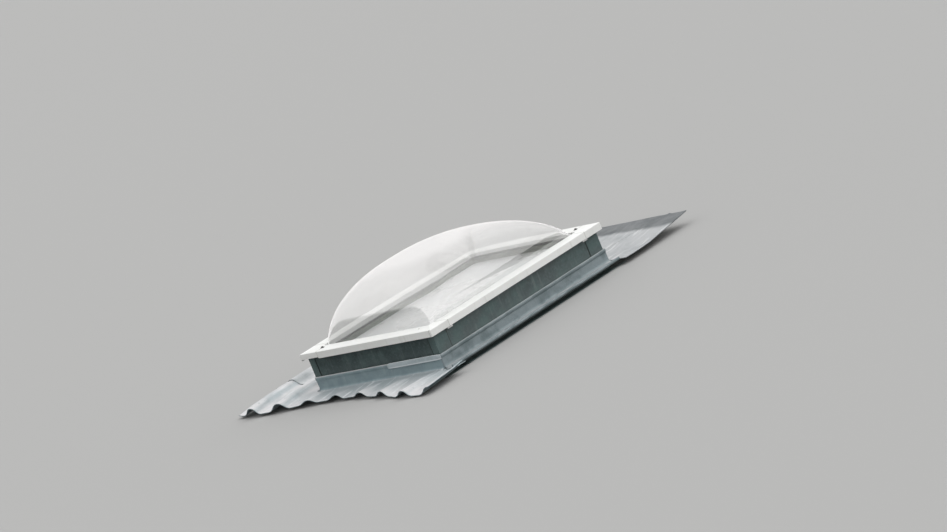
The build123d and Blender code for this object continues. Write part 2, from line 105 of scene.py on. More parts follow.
class Graph:
    """A shader tree, with short calls for the nodes that the finishes use."""

    def __init__(self, tree: bpy.types.NodeTree) -> None:
        """Starts on the tree that new nodes go into."""
        self.tree = tree

    def node(self, kind: str, **settings: object) -> bpy.types.Node:
        """Adds one node.

        Args:
            kind: Blender's name for the node type.
            settings: properties of the node and their values.

        Returns:
            The new node.
        """
        made = self.tree.nodes.new(kind)
        for name, value in settings.items():
            setattr(made, name, value)
        return made

    def feed(self, socket: Socket, value: object) -> None:
        """Gives an input socket a plain value or a link.

        Args:
            socket: the input that takes the value.
            value: another node's output, or a number, vector or colour.
        """
        if isinstance(value, Socket):
            self.tree.links.new(value, socket)
        else:
            socket.default_value = value

    def fill(self, node: bpy.types.Node, **values: object) -> None:
        """Feeds several inputs of one node, each by its name with underscores for spaces."""
        for name, value in values.items():
            self.feed(node.inputs[name.replace("_", " ")], value)

    def maths(self, operation: str, first: object, second: object = 0.0, clamp: bool = True) -> Socket:
        """Works out one sum on two numbers.

        Args:
            operation: the sum, such as MULTIPLY.
            first: a socket or a number.
            second: a socket or a number.
            clamp: keeps the answer between 0 and 1.

        Returns:
            The socket that holds the answer.
        """
        made = self.node("ShaderNodeMath", operation=operation, use_clamp=clamp)
        self.feed(made.inputs[0], first)
        self.feed(made.inputs[1], second)
        return made.outputs[0]

    def both(self, first: Socket, second: object) -> Socket:
        """The product of two masks, or of a mask and a number."""
        return self.maths("MULTIPLY", first, second)

    def rest(self, mask: Socket) -> Socket:
        """The mask of everything that a mask leaves out."""
        return self.maths("SUBTRACT", 1.0, mask)

    def blend(self, share: object, first: object, second: object) -> Socket:
        """Mixes two colours.

        Args:
            share: how much of the second colour shows, from 0 to 1.
            first: the colour at a share of 0.
            second: the colour at a share of 1.

        Returns:
            The mixed colour.
        """
        # Inputs 6 and 7 and output 2 are this node's colours, the ones before them its other types.
        made = self.node("ShaderNodeMix", data_type="RGBA")
        for place, value in ((0, share), (6, first), (7, second)):
            self.feed(made.inputs[place], value)
        return made.outputs[2]

    def layer(self, under: object, over: Colour, mask: Socket, share: float) -> Socket:
        """Lays a thin coat of a colour over another where a mask shows, up to a share of it."""
        return self.blend(self.both(mask, share), under, over)

    def ramp(self, value: object, low: object, high: object, start: object = 0.0,
             end: object = 1.0) -> Socket:
        """Spreads a number smoothly from one range onto another.

        Args:
            value: the number that varies.
            low: the value that becomes start.
            high: the value that becomes end.
            start: the answer at low.
            end: the answer at high.

        Returns:
            The spread number.
        """
        made = self.node("ShaderNodeMapRange", interpolation_type="SMOOTHSTEP")
        self.fill(made, Value=value, From_Min=low, From_Max=high, To_Min=start, To_Max=end)
        return made.outputs[0]

    def vary(self, mask: Socket, start: float, end: float) -> Socket:
        """A number that goes from start to end as a mask goes from 0 to 1."""
        return self.ramp(mask, low=0.0, high=1.0, start=start, end=end)

    def bump(self, height: Socket, strength: float, distance: float, normal: Socket | None = None) -> Socket:
        """Turns a height into a normal.

        Args:
            height: the height that varies over the surface.
            strength: how strongly it shows, from 0 to 1.
            distance: the real height of a full step, in metres.
            normal: the normal of a coarser bump below this one.

        Returns:
            The bumped normal.
        """
        made = self.node("ShaderNodeBump")
        self.fill(made, Strength=strength, Distance=distance, Height=height)
        if normal is not None:
            self.fill(made, Normal=normal)
        return made.outputs["Normal"]

    def place(self) -> Socket:
        """The place on the part, in metres in the part's own frame."""
        return self.node("ShaderNodeTexCoord").outputs["Object"]

    def part_of(self, vector: Socket, axis: str) -> Socket:
        """The X, Y or Z of a vector.

        Args:
            vector: a place or a direction.
            axis: X, Y or Z.

        Returns:
            The number.
        """
        made = self.node("ShaderNodeSeparateXYZ")
        self.feed(made.inputs[0], vector)
        return made.outputs[axis]

    def share_along(self, vector: Socket, way: object) -> Socket:
        """How far a vector reaches along a direction.

        Args:
            vector: a place or a direction.
            way: the direction, as a socket or three numbers.

        Returns:
            The number.
        """
        made = self.node("ShaderNodeVectorMath", operation="DOT_PRODUCT")
        self.feed(made.inputs[0], vector)
        self.feed(made.inputs[1], way)
        return made.outputs["Value"]

    def either(self, share: Socket, first: Socket, second: Socket) -> Socket:
        """Chooses between two shaders.

        Args:
            share: 0 for the first shader and 1 for the second.
            first: the first shader.
            second: the second shader.

        Returns:
            The mixed shader.
        """
        made = self.node("ShaderNodeMixShader")
        for place, value in enumerate((share, first, second)):
            self.feed(made.inputs[place], value)
        return made.outputs[0]

    def looked_through(self) -> Socket:
        """A mask of the rays that the eye sends, straight or through clear sheet."""
        path = self.node("ShaderNodeLightPath").outputs
        return self.maths("MAXIMUM", path["Is Camera Ray"], path["Is Transmission Ray"])


class Effects:
    """The library of shared effects. Each is built once, as a node group with named sockets."""

    def __init__(self) -> None:
        """Builds every effect."""
        self.trees: dict[Effect, bpy.types.NodeTree] = {}
        for build in (self._patches, self._streaks, self._grain, self._edges, self._facing, self._height,
                      self._line):
            build()

    def _start(self, effect: Effect, output: str, **inputs: object) -> tuple[Graph, object, Socket]:
        """Makes an empty group with its sockets.

        Args:
            effect: names the group.
            output: the name of the one output.
            inputs: each input's name and its first value.

        Returns:
            The group's graph, its inputs by their names, and the socket of its output.
        """
        tree = bpy.data.node_groups.new(effect.value, "ShaderNodeTree")
        for name, value in inputs.items():
            kind = "NodeSocketVector" if isinstance(value, tuple) else "NodeSocketFloat"
            tree.interface.new_socket(name, in_out="INPUT", socket_type=kind).default_value = value
        tree.interface.new_socket(output, in_out="OUTPUT", socket_type="NodeSocketFloat")
        self.trees[effect] = tree
        graph = Graph(tree)
        return graph, graph.node("NodeGroupInput").outputs, graph.node("NodeGroupOutput").inputs[output]

    @staticmethod
    def _cloud(graph: Graph, place: Socket, seed: Socket, **settings: object) -> Socket:
        """Adds a noise that has its own pattern for each seed.

        Args:
            graph: the group's graph.
            place: where the noise is read.
            seed: the seed.
            settings: the noise's other inputs.

        Returns:
            The noise, from 0 to 1.
        """
        made = graph.node("ShaderNodeTexNoise", noise_dimensions="4D")
        graph.fill(made, Vector=place, W=seed, **settings)
        return made.outputs[0]

    def _patches(self) -> None:
        """Large soft blotches, such as uneven patina."""
        graph, given, out = self._start(Effect.PATCHES, "Mask", Scale=6.0, Low=0.4, High=0.65, Seed=0.0)
        cloud = self._cloud(graph, graph.place(), given["Seed"], Scale=given["Scale"], Detail=6.0,
                            Roughness=0.6)
        graph.feed(out, graph.ramp(cloud, given["Low"], given["High"]))

    def _streaks(self) -> None:
        """Runs left by rain, drawn out along the direction with the small squeeze."""
        graph, given, out = self._start(Effect.STREAKS, "Mask", Squeeze=(40.0, 40.0, 4.0), Low=0.5, High=0.75,
                                        Seed=0.0)
        stretch = graph.node("ShaderNodeVectorMath", operation="MULTIPLY")
        graph.feed(stretch.inputs[0], graph.place())
        graph.feed(stretch.inputs[1], given["Squeeze"])
        runs = self._cloud(graph, stretch.outputs[0], given["Seed"], Scale=1.0, Detail=4.0)
        graph.feed(out, graph.ramp(runs, given["Low"], given["High"]))

    def _grain(self) -> None:
        """Fine unevenness for bumps and roughness."""
        graph, given, out = self._start(Effect.GRAIN, "Height", Scale=400.0, Seed=0.0)
        graph.feed(out, self._cloud(graph, graph.place(), given["Seed"], Scale=given["Scale"], Detail=8.0,
                                    Roughness=0.65))

    def _edges(self) -> None:
        """Wear along exposed edges, broken up by noise."""
        graph, given, out = self._start(Effect.EDGES, "Mask", Width=0.002, Breakup=60.0, Seed=0.0)
        rounded = graph.node("ShaderNodeBevel", samples=4)
        graph.feed(rounded.inputs["Radius"], given["Width"])
        true_face = graph.node("ShaderNodeNewGeometry").outputs["Normal"]
        near = graph.ramp(graph.share_along(rounded.outputs[0], true_face), low=0.99, high=0.80)
        chips = self._cloud(graph, graph.place(), given["Seed"], Scale=given["Breakup"])
        graph.feed(out, graph.both(near, graph.ramp(chips, low=0.35, high=0.6)))

    def _facing(self) -> None:
        """The faces that look away from the roof plane. Low and High are shares of the normal."""
        graph, given, out = self._start(Effect.FACING, "Mask", Low=0.2, High=0.8)
        upward = graph.part_of(graph.node("ShaderNodeNewGeometry").outputs["Normal"], "Z")
        graph.feed(out, graph.ramp(upward, given["Low"], given["High"]))

    def _height(self) -> None:
        """What lies high above the roof plane. Low and High are in metres."""
        graph, given, out = self._start(Effect.HEIGHT, "Mask", Low=0.0, High=0.1)
        graph.feed(out, graph.ramp(graph.part_of(graph.place(), "Z"), given["Low"], given["High"]))

    def _line(self) -> None:
        """A line at one place along a direction, full as far as Flat and faded out over Soft."""
        graph, given, out = self._start(Effect.LINE, "Mask", Way=(1.0, 0.0, 0.0), Place=0.0, Flat=0.001,
                                        Soft=0.001)
        reach = graph.share_along(graph.place(), given["Way"])
        away = graph.maths("ABSOLUTE", graph.maths("SUBTRACT", reach, given["Place"], clamp=False))
        edge = graph.maths("ADD", given["Flat"], given["Soft"])
        graph.feed(out, graph.ramp(away, given["Flat"], edge, start=1.0, end=0.0))


class Paint(Graph):
    """A material in the making, with one surface shader and the shared effects at hand."""

    def __init__(self, name: str, effects: Effects) -> None:
        """Starts an empty material.

        Args:
            name: the finish's name.
            effects: the shared effects.
        """
        self.material = bpy.data.materials.new(name)
        self.material.use_nodes = True
        self.material.node_tree.nodes.clear()
        super().__init__(self.material.node_tree)
        self.effects = effects
        self.shader = self.node("ShaderNodeBsdfPrincipled")
        self.out = self.node("ShaderNodeOutputMaterial")
        self.show(self.shader.outputs["BSDF"])

    def show(self, shader: Socket) -> None:
        """Puts a shader on the surface, in place of the one before it."""
        self.feed(self.out.inputs["Surface"], shader)

    def effect(self, effect: Effect, **settings: object) -> Socket:
        """Places one shared effect.

        Args:
            effect: the effect.
            settings: the group's inputs.

        Returns:
            The mask or height that the effect puts out.
        """
        made = self.node("ShaderNodeGroup", node_tree=self.effects.trees[effect])
        self.fill(made, **settings)
        return made.outputs[0]

    def surface(self, **values: object) -> Material:
        """Sets inputs of the surface shader by name and hands over the finished material."""
        self.fill(self.shader, **values)
        return self.material


# Finishes

@dataclass(frozen=True)
class Joints:
    """The places along a side where its corner pieces end."""

    axis: int = 0
    places: tuple[float, ...] = ()

    @classmethod
    def beside(cls, side: Side, prefix: str) -> "Joints":
        """Reads the joints of one side from the solids.

        Args:
            side: the side.
            prefix: the start of the corner pieces' names.

        Returns:
            The joints.
        """
        ends = (f"{side.label}_left", f"{side.label}_right")
        if side.axis:
            ends = (f"front_{side.label}", f"back_{side.label}")
        first, last = (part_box(prefix + end) for end in ends)
        return cls(side.axis, (first[1][side.axis], last[0][side.axis]))

    def masks(self, paint: Paint, half: float) -> list[Socket]:
        """The lines of the joints on a surface.

        Args:
            paint: the material.
            half: half a line's width, in metres.

        Returns:
            One mask for each joint.
        """
        way = (0.0, 1.0, 0.0) if self.axis else (1.0, 0.0, 0.0)
        return [paint.effect(Effect.LINE, Way=way, Place=place, Flat=0.5 * half, Soft=half)
                for place in self.places]


@dataclass(frozen=True)
class WhiteCoating:
    """The white coating of the clamping frame, dulled by weather."""

    clean: Colour = (0.845, 0.855, 0.84, 1)
    chalky: Colour = (0.80, 0.81, 0.79, 1)
    grime: Colour = (0.36, 0.37, 0.33, 1)
    shine: float = 0.12
    smooth: float = 0.48
    rough: float = 0.56
    joint_half: float = 0.0016

    def make(self, effects: Effects, name: str, joints: Joints = Joints()) -> Material:
        """Builds the material.

        Args:
            effects: the shared effects.
            name: the finish's name.
            joints: where dirt lies in a joint.

        Returns:
            The material.
        """
        paint = Paint(name, effects)
        chalk = paint.effect(Effect.PATCHES, Scale=9.0, Low=0.42, High=0.68, Seed=1.0)
        colour = paint.blend(chalk, self.clean, self.chalky)
        runs = paint.effect(Effect.STREAKS, Squeeze=(45.0, 45.0, 6.0), Low=0.56, High=0.8, Seed=2.0)
        walls = paint.rest(paint.effect(Effect.FACING, Low=0.2, High=0.8))
        colour = paint.layer(colour, self.grime, paint.both(runs, walls), share=0.35)
        specks = paint.effect(Effect.PATCHES, Scale=120.0, Low=0.62, High=0.72, Seed=3.0)
        colour = paint.layer(colour, self.grime, specks, share=0.3)
        worn = paint.effect(Effect.EDGES, Width=0.0025, Breakup=70.0, Seed=4.0)
        colour = paint.layer(colour, self.chalky, worn, share=0.3)
        for joint in joints.masks(paint, self.joint_half):
            colour = paint.layer(colour, self.grime, joint, share=0.8)
        skin = paint.effect(Effect.GRAIN, Scale=260.0, Seed=5.0)
        return paint.surface(
            Base_Color=colour, Roughness=paint.vary(chalk, self.smooth, self.rough),
            Specular_IOR_Level=self.shine, Normal=paint.bump(skin, strength=0.25, distance=0.0004))


@dataclass(frozen=True)
class ClearAcrylic:
    """The clear acrylic of the formed dome, with a very light film of weather."""

    tint: Colour = (0.90, 0.90, 0.895, 1)
    lamp_tint: Colour = (0.94, 0.94, 0.94, 1)
    roughness: float = 0.004
    film_roughness: float = 0.012
    index: float = 1.49
    gloss_index: float = 1.8
    dust: float = 0.15
    dust_spread: float = 0.45

    def make(self, effects: Effects) -> Material:
        """Builds the material.

        Args:
            effects: the shared effects.

        Returns:
            The material.
        """
        paint = Paint("clear formed acrylic", effects)
        film = paint.effect(Effect.PATCHES, Scale=5.0, Low=0.4, High=0.7, Seed=6.0)
        ripple = paint.effect(Effect.GRAIN, Scale=7.0, Seed=7.0)
        lamp_ray = paint.node("ShaderNodeLightPath").outputs["Is Shadow Ray"]
        open_way = paint.node("ShaderNodeBsdfTransparent")
        paint.fill(open_way, Color=self.lamp_tint)
        paint.show(paint.either(lamp_ray, paint.shader.outputs["BSDF"], open_way.outputs["BSDF"]))
        return paint.surface(
            Base_Color=self.tint, Transmission_Weight=1.0, IOR=self.index,
            Roughness=paint.vary(film, self.roughness, self.film_roughness),
            Coat_Weight=1.0, Coat_IOR=self.gloss_index, Coat_Roughness=self.roughness,
            Sheen_Weight=self.dust, Sheen_Roughness=self.dust_spread,
            Normal=paint.bump(ripple, strength=0.06, distance=0.002))


@dataclass(frozen=True)
class OpalSheet:
    """The pale flat pane below the dome."""

    pale: Colour = (0.94, 0.95, 0.945, 1)
    shaded: Colour = (0.87, 0.89, 0.895, 1)
    seen_through: float = 0.08
    index: float = 1.49
    smooth: float = 0.22
    rough: float = 0.4

    def make(self, effects: Effects) -> Material:
        """Builds the material.

        Args:
            effects: the shared effects.

        Returns:
            The material.
        """
        paint = Paint("pale flat sheet", effects)
        clouds = paint.effect(Effect.PATCHES, Scale=4.0, Low=0.35, High=0.7, Seed=8.0)
        dust = paint.effect(Effect.PATCHES, Scale=90.0, Low=0.5, High=0.8, Seed=9.0)
        colour = paint.blend(clouds, self.pale, self.shaded)
        return paint.surface(
            Base_Color=paint.layer(colour, self.shaded, dust, share=0.15),
            Transmission_Weight=self.seen_through, IOR=self.index,
            Roughness=paint.vary(clouds, self.smooth, self.rough))


@dataclass(frozen=True)
class KerbCoating:
    """The dark blue-grey coating of the kerb's folded sheets."""

    dark: Colour = (0.041, 0.062, 0.063, 1)
    faded: Colour = (0.078, 0.122, 0.119, 1)
    bloom: Colour = (0.160, 0.200, 0.200, 1)
    gap: Colour = (0.008, 0.010, 0.010, 1)
    # lift moves the faded patches; the sides' lighter and darker copies use it as painted light and shade.
    lift: float = 0.0
    shine: float = 0.35
    smooth: float = 0.42
    rough: float = 0.6
    joint_half: float = 0.0042

    def make(self, effects: Effects, name: str, joints: Joints = Joints()) -> Material:
        """Builds the material.

        Args:
            effects: the shared effects.
            name: the finish's name.
            joints: where a corner angle ends.

        Returns:
            The material.
        """
        paint = Paint(name, effects)
        fade = paint.effect(Effect.PATCHES, Scale=14.0, Low=0.35 - self.lift, High=0.7 - self.lift, Seed=10.0)
        colour = paint.blend(fade, self.dark, self.faded)
        runs = paint.effect(Effect.STREAKS, Squeeze=(70.0, 70.0, 5.0), Low=0.52, High=0.78, Seed=11.0)
        colour = paint.layer(colour, self.bloom, runs, share=0.45)
        splash = paint.rest(paint.effect(Effect.HEIGHT, Low=0.06, High=0.12))
        colour = paint.layer(colour, self.bloom, splash, share=0.25)
        worn = paint.effect(Effect.EDGES, Width=0.002, Breakup=90.0, Seed=12.0)
        colour = paint.layer(colour, self.bloom, worn, share=0.7)
        mottle = paint.effect(Effect.GRAIN, Scale=110.0, Seed=13.0)
        colour = paint.blend(paint.ramp(mottle, low=0.45, high=0.75, end=0.35), colour, self.bloom)
        for joint in joints.masks(paint, self.joint_half):
            colour = paint.blend(joint, colour, self.gap)
        soft = paint.effect(Effect.GRAIN, Scale=9.0, Seed=14.0)
        waved = paint.bump(soft, strength=0.5, distance=0.004)
        return paint.surface(
            Base_Color=colour, Roughness=paint.vary(fade, self.smooth, self.rough),
            Specular_IOR_Level=self.shine,
            Normal=paint.bump(mottle, strength=0.3, distance=0.0005, normal=waved))


@dataclass(frozen=True)
class WeatheredLead:
    """Dressed sheet lead: blue-grey upstands, a pale bloom on the flats that is partly painted light, streaks
    down the slope, and painted highlights, shade and shadow where its fields set them.
    """

    grey: Colour = (0.262, 0.340, 0.366, 1)
    dull: Colour = (0.175, 0.230, 0.248, 1)
    bloom: Colour = (0.620, 0.620, 0.628, 1)
    bright: Colour = (0.760, 0.790, 0.805, 1)
    damp: Colour = (0.068, 0.080, 0.086, 1)
    metallic: float = 0.15
    shine: float = 0.25
    smooth: float = 0.50
    rough: float = 0.68
    # fold_shade and the four fields after it set painted shade on the apron just below its fold.
    fold_shade: float = 0.0
    washed_low: float = -0.64
    washed_high: float = -0.52
    washed_left: float = -0.40
    washed_right: float = -0.26
    # crease and the three fields after it paint shade along the slantwise crease of the back sheet.
    crease: float = 0.0
    crease_slant: float = 0.60
    crease_place: float = -0.205
    crease_half: float = 0.013
    # The band between these heights takes a painted highlight in the bloom colour.
    welt_low: float = 0.0715
    welt_high: float = 0.0735
    # shadow_low and shadow_high place the painted shadow of the tile course behind the kerb.
    shadow_low: float = 0.785
    shadow_high: float = 0.825
    wander: float = 0.035

    def make(self, effects: Effects, name: str) -> Material:
        """Builds the material.

        Args:
            effects: the shared effects.
            name: the finish's name.

        Returns:
            The material.
        """
        paint = Paint(name, effects)
        blotch = paint.effect(Effect.PATCHES, Scale=16.0, Low=0.4, High=0.66, Seed=15.0)
        colour = paint.blend(blotch, self.grey, self.dull)
        # The pale bloom on faces turned up is partly the lead's own bloom and partly painted light on the
        # faces that look up.
        flats = paint.effect(Effect.FACING, Low=0.55, High=0.97)
        clouds = paint.effect(Effect.PATCHES, Scale=7.0, Low=0.28, High=0.6, Seed=16.0)
        pale = paint.both(flats, paint.vary(clouds, start=0.65, end=1.0))
        colour = paint.blend(pale, colour, self.bloom)
        # Painted shade on the apron just below its fold.
        if self.fold_shade:
            colour = paint.layer(colour, self.grey, self.beside_fold(paint), share=self.fold_shade)
        # Pale runs on the flats: partly the lead's white runs, partly painted highlights on the sheet's
        # folds.
        runs = paint.effect(Effect.STREAKS, Squeeze=(55.0, 7.0, 30.0), Low=0.52, High=0.72, Seed=17.0)
        colour = paint.layer(colour, self.bright, paint.both(runs, flats), share=0.75)
        trails = paint.effect(Effect.STREAKS, Squeeze=(60.0, 60.0, 5.0), Low=0.55, High=0.8, Seed=18.0)
        colour = paint.layer(colour, self.bloom, trails, share=0.3)
        spots = paint.effect(Effect.PATCHES, Scale=70.0, Low=0.58, High=0.75, Seed=19.0)
        colour = paint.layer(colour, self.dull, spots, share=0.5)
        # Painted highlight: the bloom colour laid on a band of height, the welted top of an upstand, or the
        # lower edge of the strip's round face.
        welt = paint.effect(Effect.HEIGHT, Low=self.welt_low, High=self.welt_high)
        colour = paint.layer(colour, self.bloom, welt, share=0.6)
        # Painted shade along the shaded side of the back sheet's slantwise crease.
        if self.crease:
            crease_shade = paint.effect(Effect.LINE, Way=(1.0, -self.crease_slant, 0.0), Place=self.crease_place,
                                 Flat=0.0, Soft=self.crease_half)
            colour = paint.layer(colour, self.damp, crease_shade, share=self.crease)
        # Painted shadow of the tile course above, along the upper edge behind the kerb.
        edge = paint.both(self.up_slope(paint, clouds), paint.vary(clouds, start=0.98, end=0.8))
        colour = paint.blend(edge, colour, self.damp)
        # Pale worn edges: partly wear, partly a painted highlight along the welted top edges.
        worn = paint.effect(Effect.EDGES, Width=0.003, Breakup=50.0, Seed=20.0)
        colour = paint.layer(colour, self.bright, worn, share=0.8)
        dents = paint.effect(Effect.GRAIN, Scale=28.0, Seed=21.0)
        skin = paint.effect(Effect.GRAIN, Scale=190.0, Seed=22.0)
        beaten = paint.bump(dents, strength=0.6, distance=0.004)
        return paint.surface(
            Base_Color=colour, Metallic=self.metallic, Specular_IOR_Level=self.shine,
            Roughness=paint.vary(blotch, self.smooth, self.rough),
            Normal=paint.bump(skin, strength=0.3, distance=0.0006, normal=beaten))

    def beside_fold(self, paint: Paint) -> Socket:
        """A mask of the apron just below its upstand, where painted shade darkens the flats.

        Args:
            paint: the material.

        Returns:
            The mask.
        """
        place = paint.place()
        near = paint.ramp(paint.part_of(place, "Y"), self.washed_low, self.washed_high)
        across = paint.ramp(paint.part_of(place, "X"), self.washed_left, self.washed_right)
        return paint.both(near, across)

    def up_slope(self, paint: Paint, clouds: Socket) -> Socket:
        """A mask of the painted shadow along the upper edge behind the kerb, whose lower edge wanders with
        the clouds.
        """
        up = paint.maths("ADD", paint.part_of(paint.place(), "Y"), paint.both(clouds, self.wander))
        return paint.ramp(up, self.shadow_low, self.shadow_high)


@dataclass(frozen=True)
class TreatedTimber:
    """Pressure-treated softwood with a grey-green cast."""

    early: Colour = (0.260, 0.290, 0.250, 1)
    late: Colour = (0.150, 0.170, 0.150, 1)
    squeeze_along: float = 6.0
    squeeze_across: float = 160.0
    smooth: float = 0.6
    rough: float = 0.78

    def make(self, effects: Effects, side: Side) -> Material:
        """Builds the material for the boards of one side.

        Args:
            effects: the shared effects.
            side: the side, which sets the way of the grain.

        Returns:
            The material.
        """
        paint = Paint("treated timber " + side.label, effects)
        squeeze = tuple(self.squeeze_along if axis == side.axis else self.squeeze_across for axis in range(3))
        rings = paint.effect(Effect.STREAKS, Squeeze=squeeze, Low=0.4, High=0.62, Seed=23.0)
        stain = paint.effect(Effect.PATCHES, Scale=8.0, Low=0.45, High=0.7, Seed=24.0)
        colour = paint.blend(rings, self.early, self.late)
        return paint.surface(
            Base_Color=paint.layer(colour, self.late, stain, share=0.4),
            Roughness=paint.vary(rings, self.smooth, self.rough),
            Normal=paint.bump(rings, strength=0.3, distance=0.0006))


@dataclass(frozen=True)
class SpongeRubber:
    """Black sponge rubber of the seals and the bedding tape."""

    black: Colour = (0.018, 0.019, 0.019, 1)
    grey: Colour = (0.060, 0.062, 0.060, 1)
    smooth: float = 0.7
    rough: float = 0.9

    def make(self, effects: Effects) -> Material:
        """Builds the material.

        Args:
            effects: the shared effects.

        Returns:
            The material.
        """
        paint = Paint("black sponge rubber", effects)
        pores = paint.effect(Effect.GRAIN, Scale=900.0, Seed=25.0)
        return paint.surface(
            Base_Color=paint.blend(pores, self.black, self.grey),
            Roughness=paint.ramp(pores, low=0.3, high=0.7, start=self.smooth, end=self.rough),
            Normal=paint.bump(pores, strength=0.5, distance=0.0004))


@dataclass(frozen=True)
class DulledMetal:
    """Small metal fixings, dulled and stained by weather."""

    name: str
    metal: Colour
    stain: Colour
    metallic: float = 0.8
    smooth: float = 0.35
    rough: float = 0.6
    coated: Colour | None = None
    coated_span: float = 0.01

    def make(self, effects: Effects) -> Material:
        """Builds the material.

        Args:
            effects: the shared effects.

        Returns:
            The material.
        """
        paint = Paint(self.name, effects)
        marks = paint.effect(Effect.PATCHES, Scale=160.0, Low=0.4, High=0.65, Seed=26.0)
        colour = paint.blend(marks, self.metal, self.stain)
        worn = paint.effect(Effect.EDGES, Width=0.0008, Breakup=200.0, Seed=27.0)
        colour = paint.layer(colour, self.metal, worn, share=0.6)
        if self.coated is not None:
            colour = paint.blend(self.kept_coating(paint), colour, self.coated)
        skin = paint.effect(Effect.GRAIN, Scale=1200.0, Seed=28.0)
        return paint.surface(
            Base_Color=colour, Metallic=self.metallic, Roughness=paint.vary(marks, self.smooth, self.rough),
            Normal=paint.bump(skin, strength=0.3, distance=0.0002))

    def kept_coating(self, paint: Paint) -> Socket:
        """A mask of the one diagonal pair of corners where the heads kept their coating.

        Args:
            paint: the material.

        Returns:
            The mask.
        """
        x, y = (paint.part_of(paint.place(), axis) for axis in "XY")
        diagonal = paint.maths("MULTIPLY", x, y, clamp=False)
        return paint.ramp(diagonal, self.coated_span, -self.coated_span)


# Mesh helpers

def ease(value: float) -> float:
    """A smooth step from 0 to 1 of a share that may lie outside that range."""
    value = min(1.0, max(0.0, value))
    return value * value * (3 - 2 * value)


def spread(low: float, high: float, step: float) -> list[float]:
    """Evenly spaced values from low to high, both included, no further apart than step."""
    count = max(1, math.ceil(abs(high - low) / step))
    return [low + (high - low) * i / count for i in range(count + 1)]


def turned(turns: float, steps: int) -> list[float]:
    """The angles of an arc from 0 on, given its quarter turns and its steps."""
    return spread(0.0, turns * QUARTER, turns * QUARTER / steps)


def between(value: float, stops: list[tuple[float, float]]) -> float:
    """Reads a line of straight parts through given stops.

    Args:
        value: where to read it.
        stops: pairs of place and height, in rising order of place.

    Returns:
        The height there.
    """
    if value <= stops[0][0]:
        return stops[0][1]
    for (x0, y0), (x1, y1) in zip(stops, stops[1:]):
        if value <= x1:
            return y0 + (y1 - y0) * (value - x0) / (x1 - x0)
    return stops[-1][1]


def placed(name: str, data: bpy.types.ID) -> Piece:
    """Puts a new object into the scene.

    Args:
        name: the object's name.
        data: its mesh, lamp or camera.

    Returns:
        The object.
    """
    made = bpy.data.objects.new(name, data)
    bpy.context.scene.collection.objects.link(made)
    return made


class Skin:
    """A surface joined from grids of points, thickened into a sheet."""

    join: float = 0.00005

    def __init__(self, name: str) -> None:
        """Starts an empty surface for the piece of that name."""
        self.name = name
        self.mesh = bmesh.new()

    def add(self, grid: Grid) -> None:
        """Adds one grid, whose columns run along the piece and whose rows run outward.

        Args:
            grid: rows of points, each as long as the first.
        """
        rows = [[self.mesh.verts.new(point) for point in row] for row in grid]
        for upper, lower in zip(rows, rows[1:]):
            for i in range(len(upper) - 1):
                self.mesh.faces.new((upper[i], lower[i], lower[i + 1], upper[i + 1]))

    def finish(self, thickness: float) -> Piece:
        """Joins the grids and thickens them away from the side that they show.

        Args:
            thickness: the sheet's thickness, in metres.

        Returns:
            The piece.
        """
        bmesh.ops.remove_doubles(self.mesh, verts=self.mesh.verts, dist=self.join)
        data = bpy.data.meshes.new(self.name)
        self.mesh.to_mesh(data)
        self.mesh.free()
        for polygon in data.polygons:
            polygon.use_smooth = True
        piece = placed(self.name, data)
        shell = piece.modifiers.new("sheet thickness", "SOLIDIFY")
        shell.thickness = thickness
        shell.offset = -1.0
        shell.use_even_offset = True
        return piece


def dress(piece: Piece, material: Material, slot: str, *nodes: str) -> None:
    """Gives a new piece its finish and its place in the model.

    Args:
        piece: the new piece.
        material: its finish.
        slot: the record's material slot that the finish stands for; not used.
        nodes: the solids that the piece stands for.
    """
    piece.data.materials.clear()
    piece.data.materials.append(material)
    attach(piece, BODY)
    if nodes:
        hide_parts(*nodes)
    LOG.info("%s: %d faces", piece.name, len(piece.data.polygons))


def coat(nodes: list[str], material: Material) -> None:
    """Gives solids that keep their shape a better finish.

    Args:
        nodes: the solids' names.
        material: their finish.
    """
    for node in nodes:
        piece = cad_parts[node]
        piece.data.materials.clear()
        piece.data.materials.append(material)
        LOG.info("%s: %s", node, material.name)


def named(start: str) -> list[str]:
    """The names of the solids that start with a word."""
    return [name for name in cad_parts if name.startswith(start)]


# Sub-assemblies

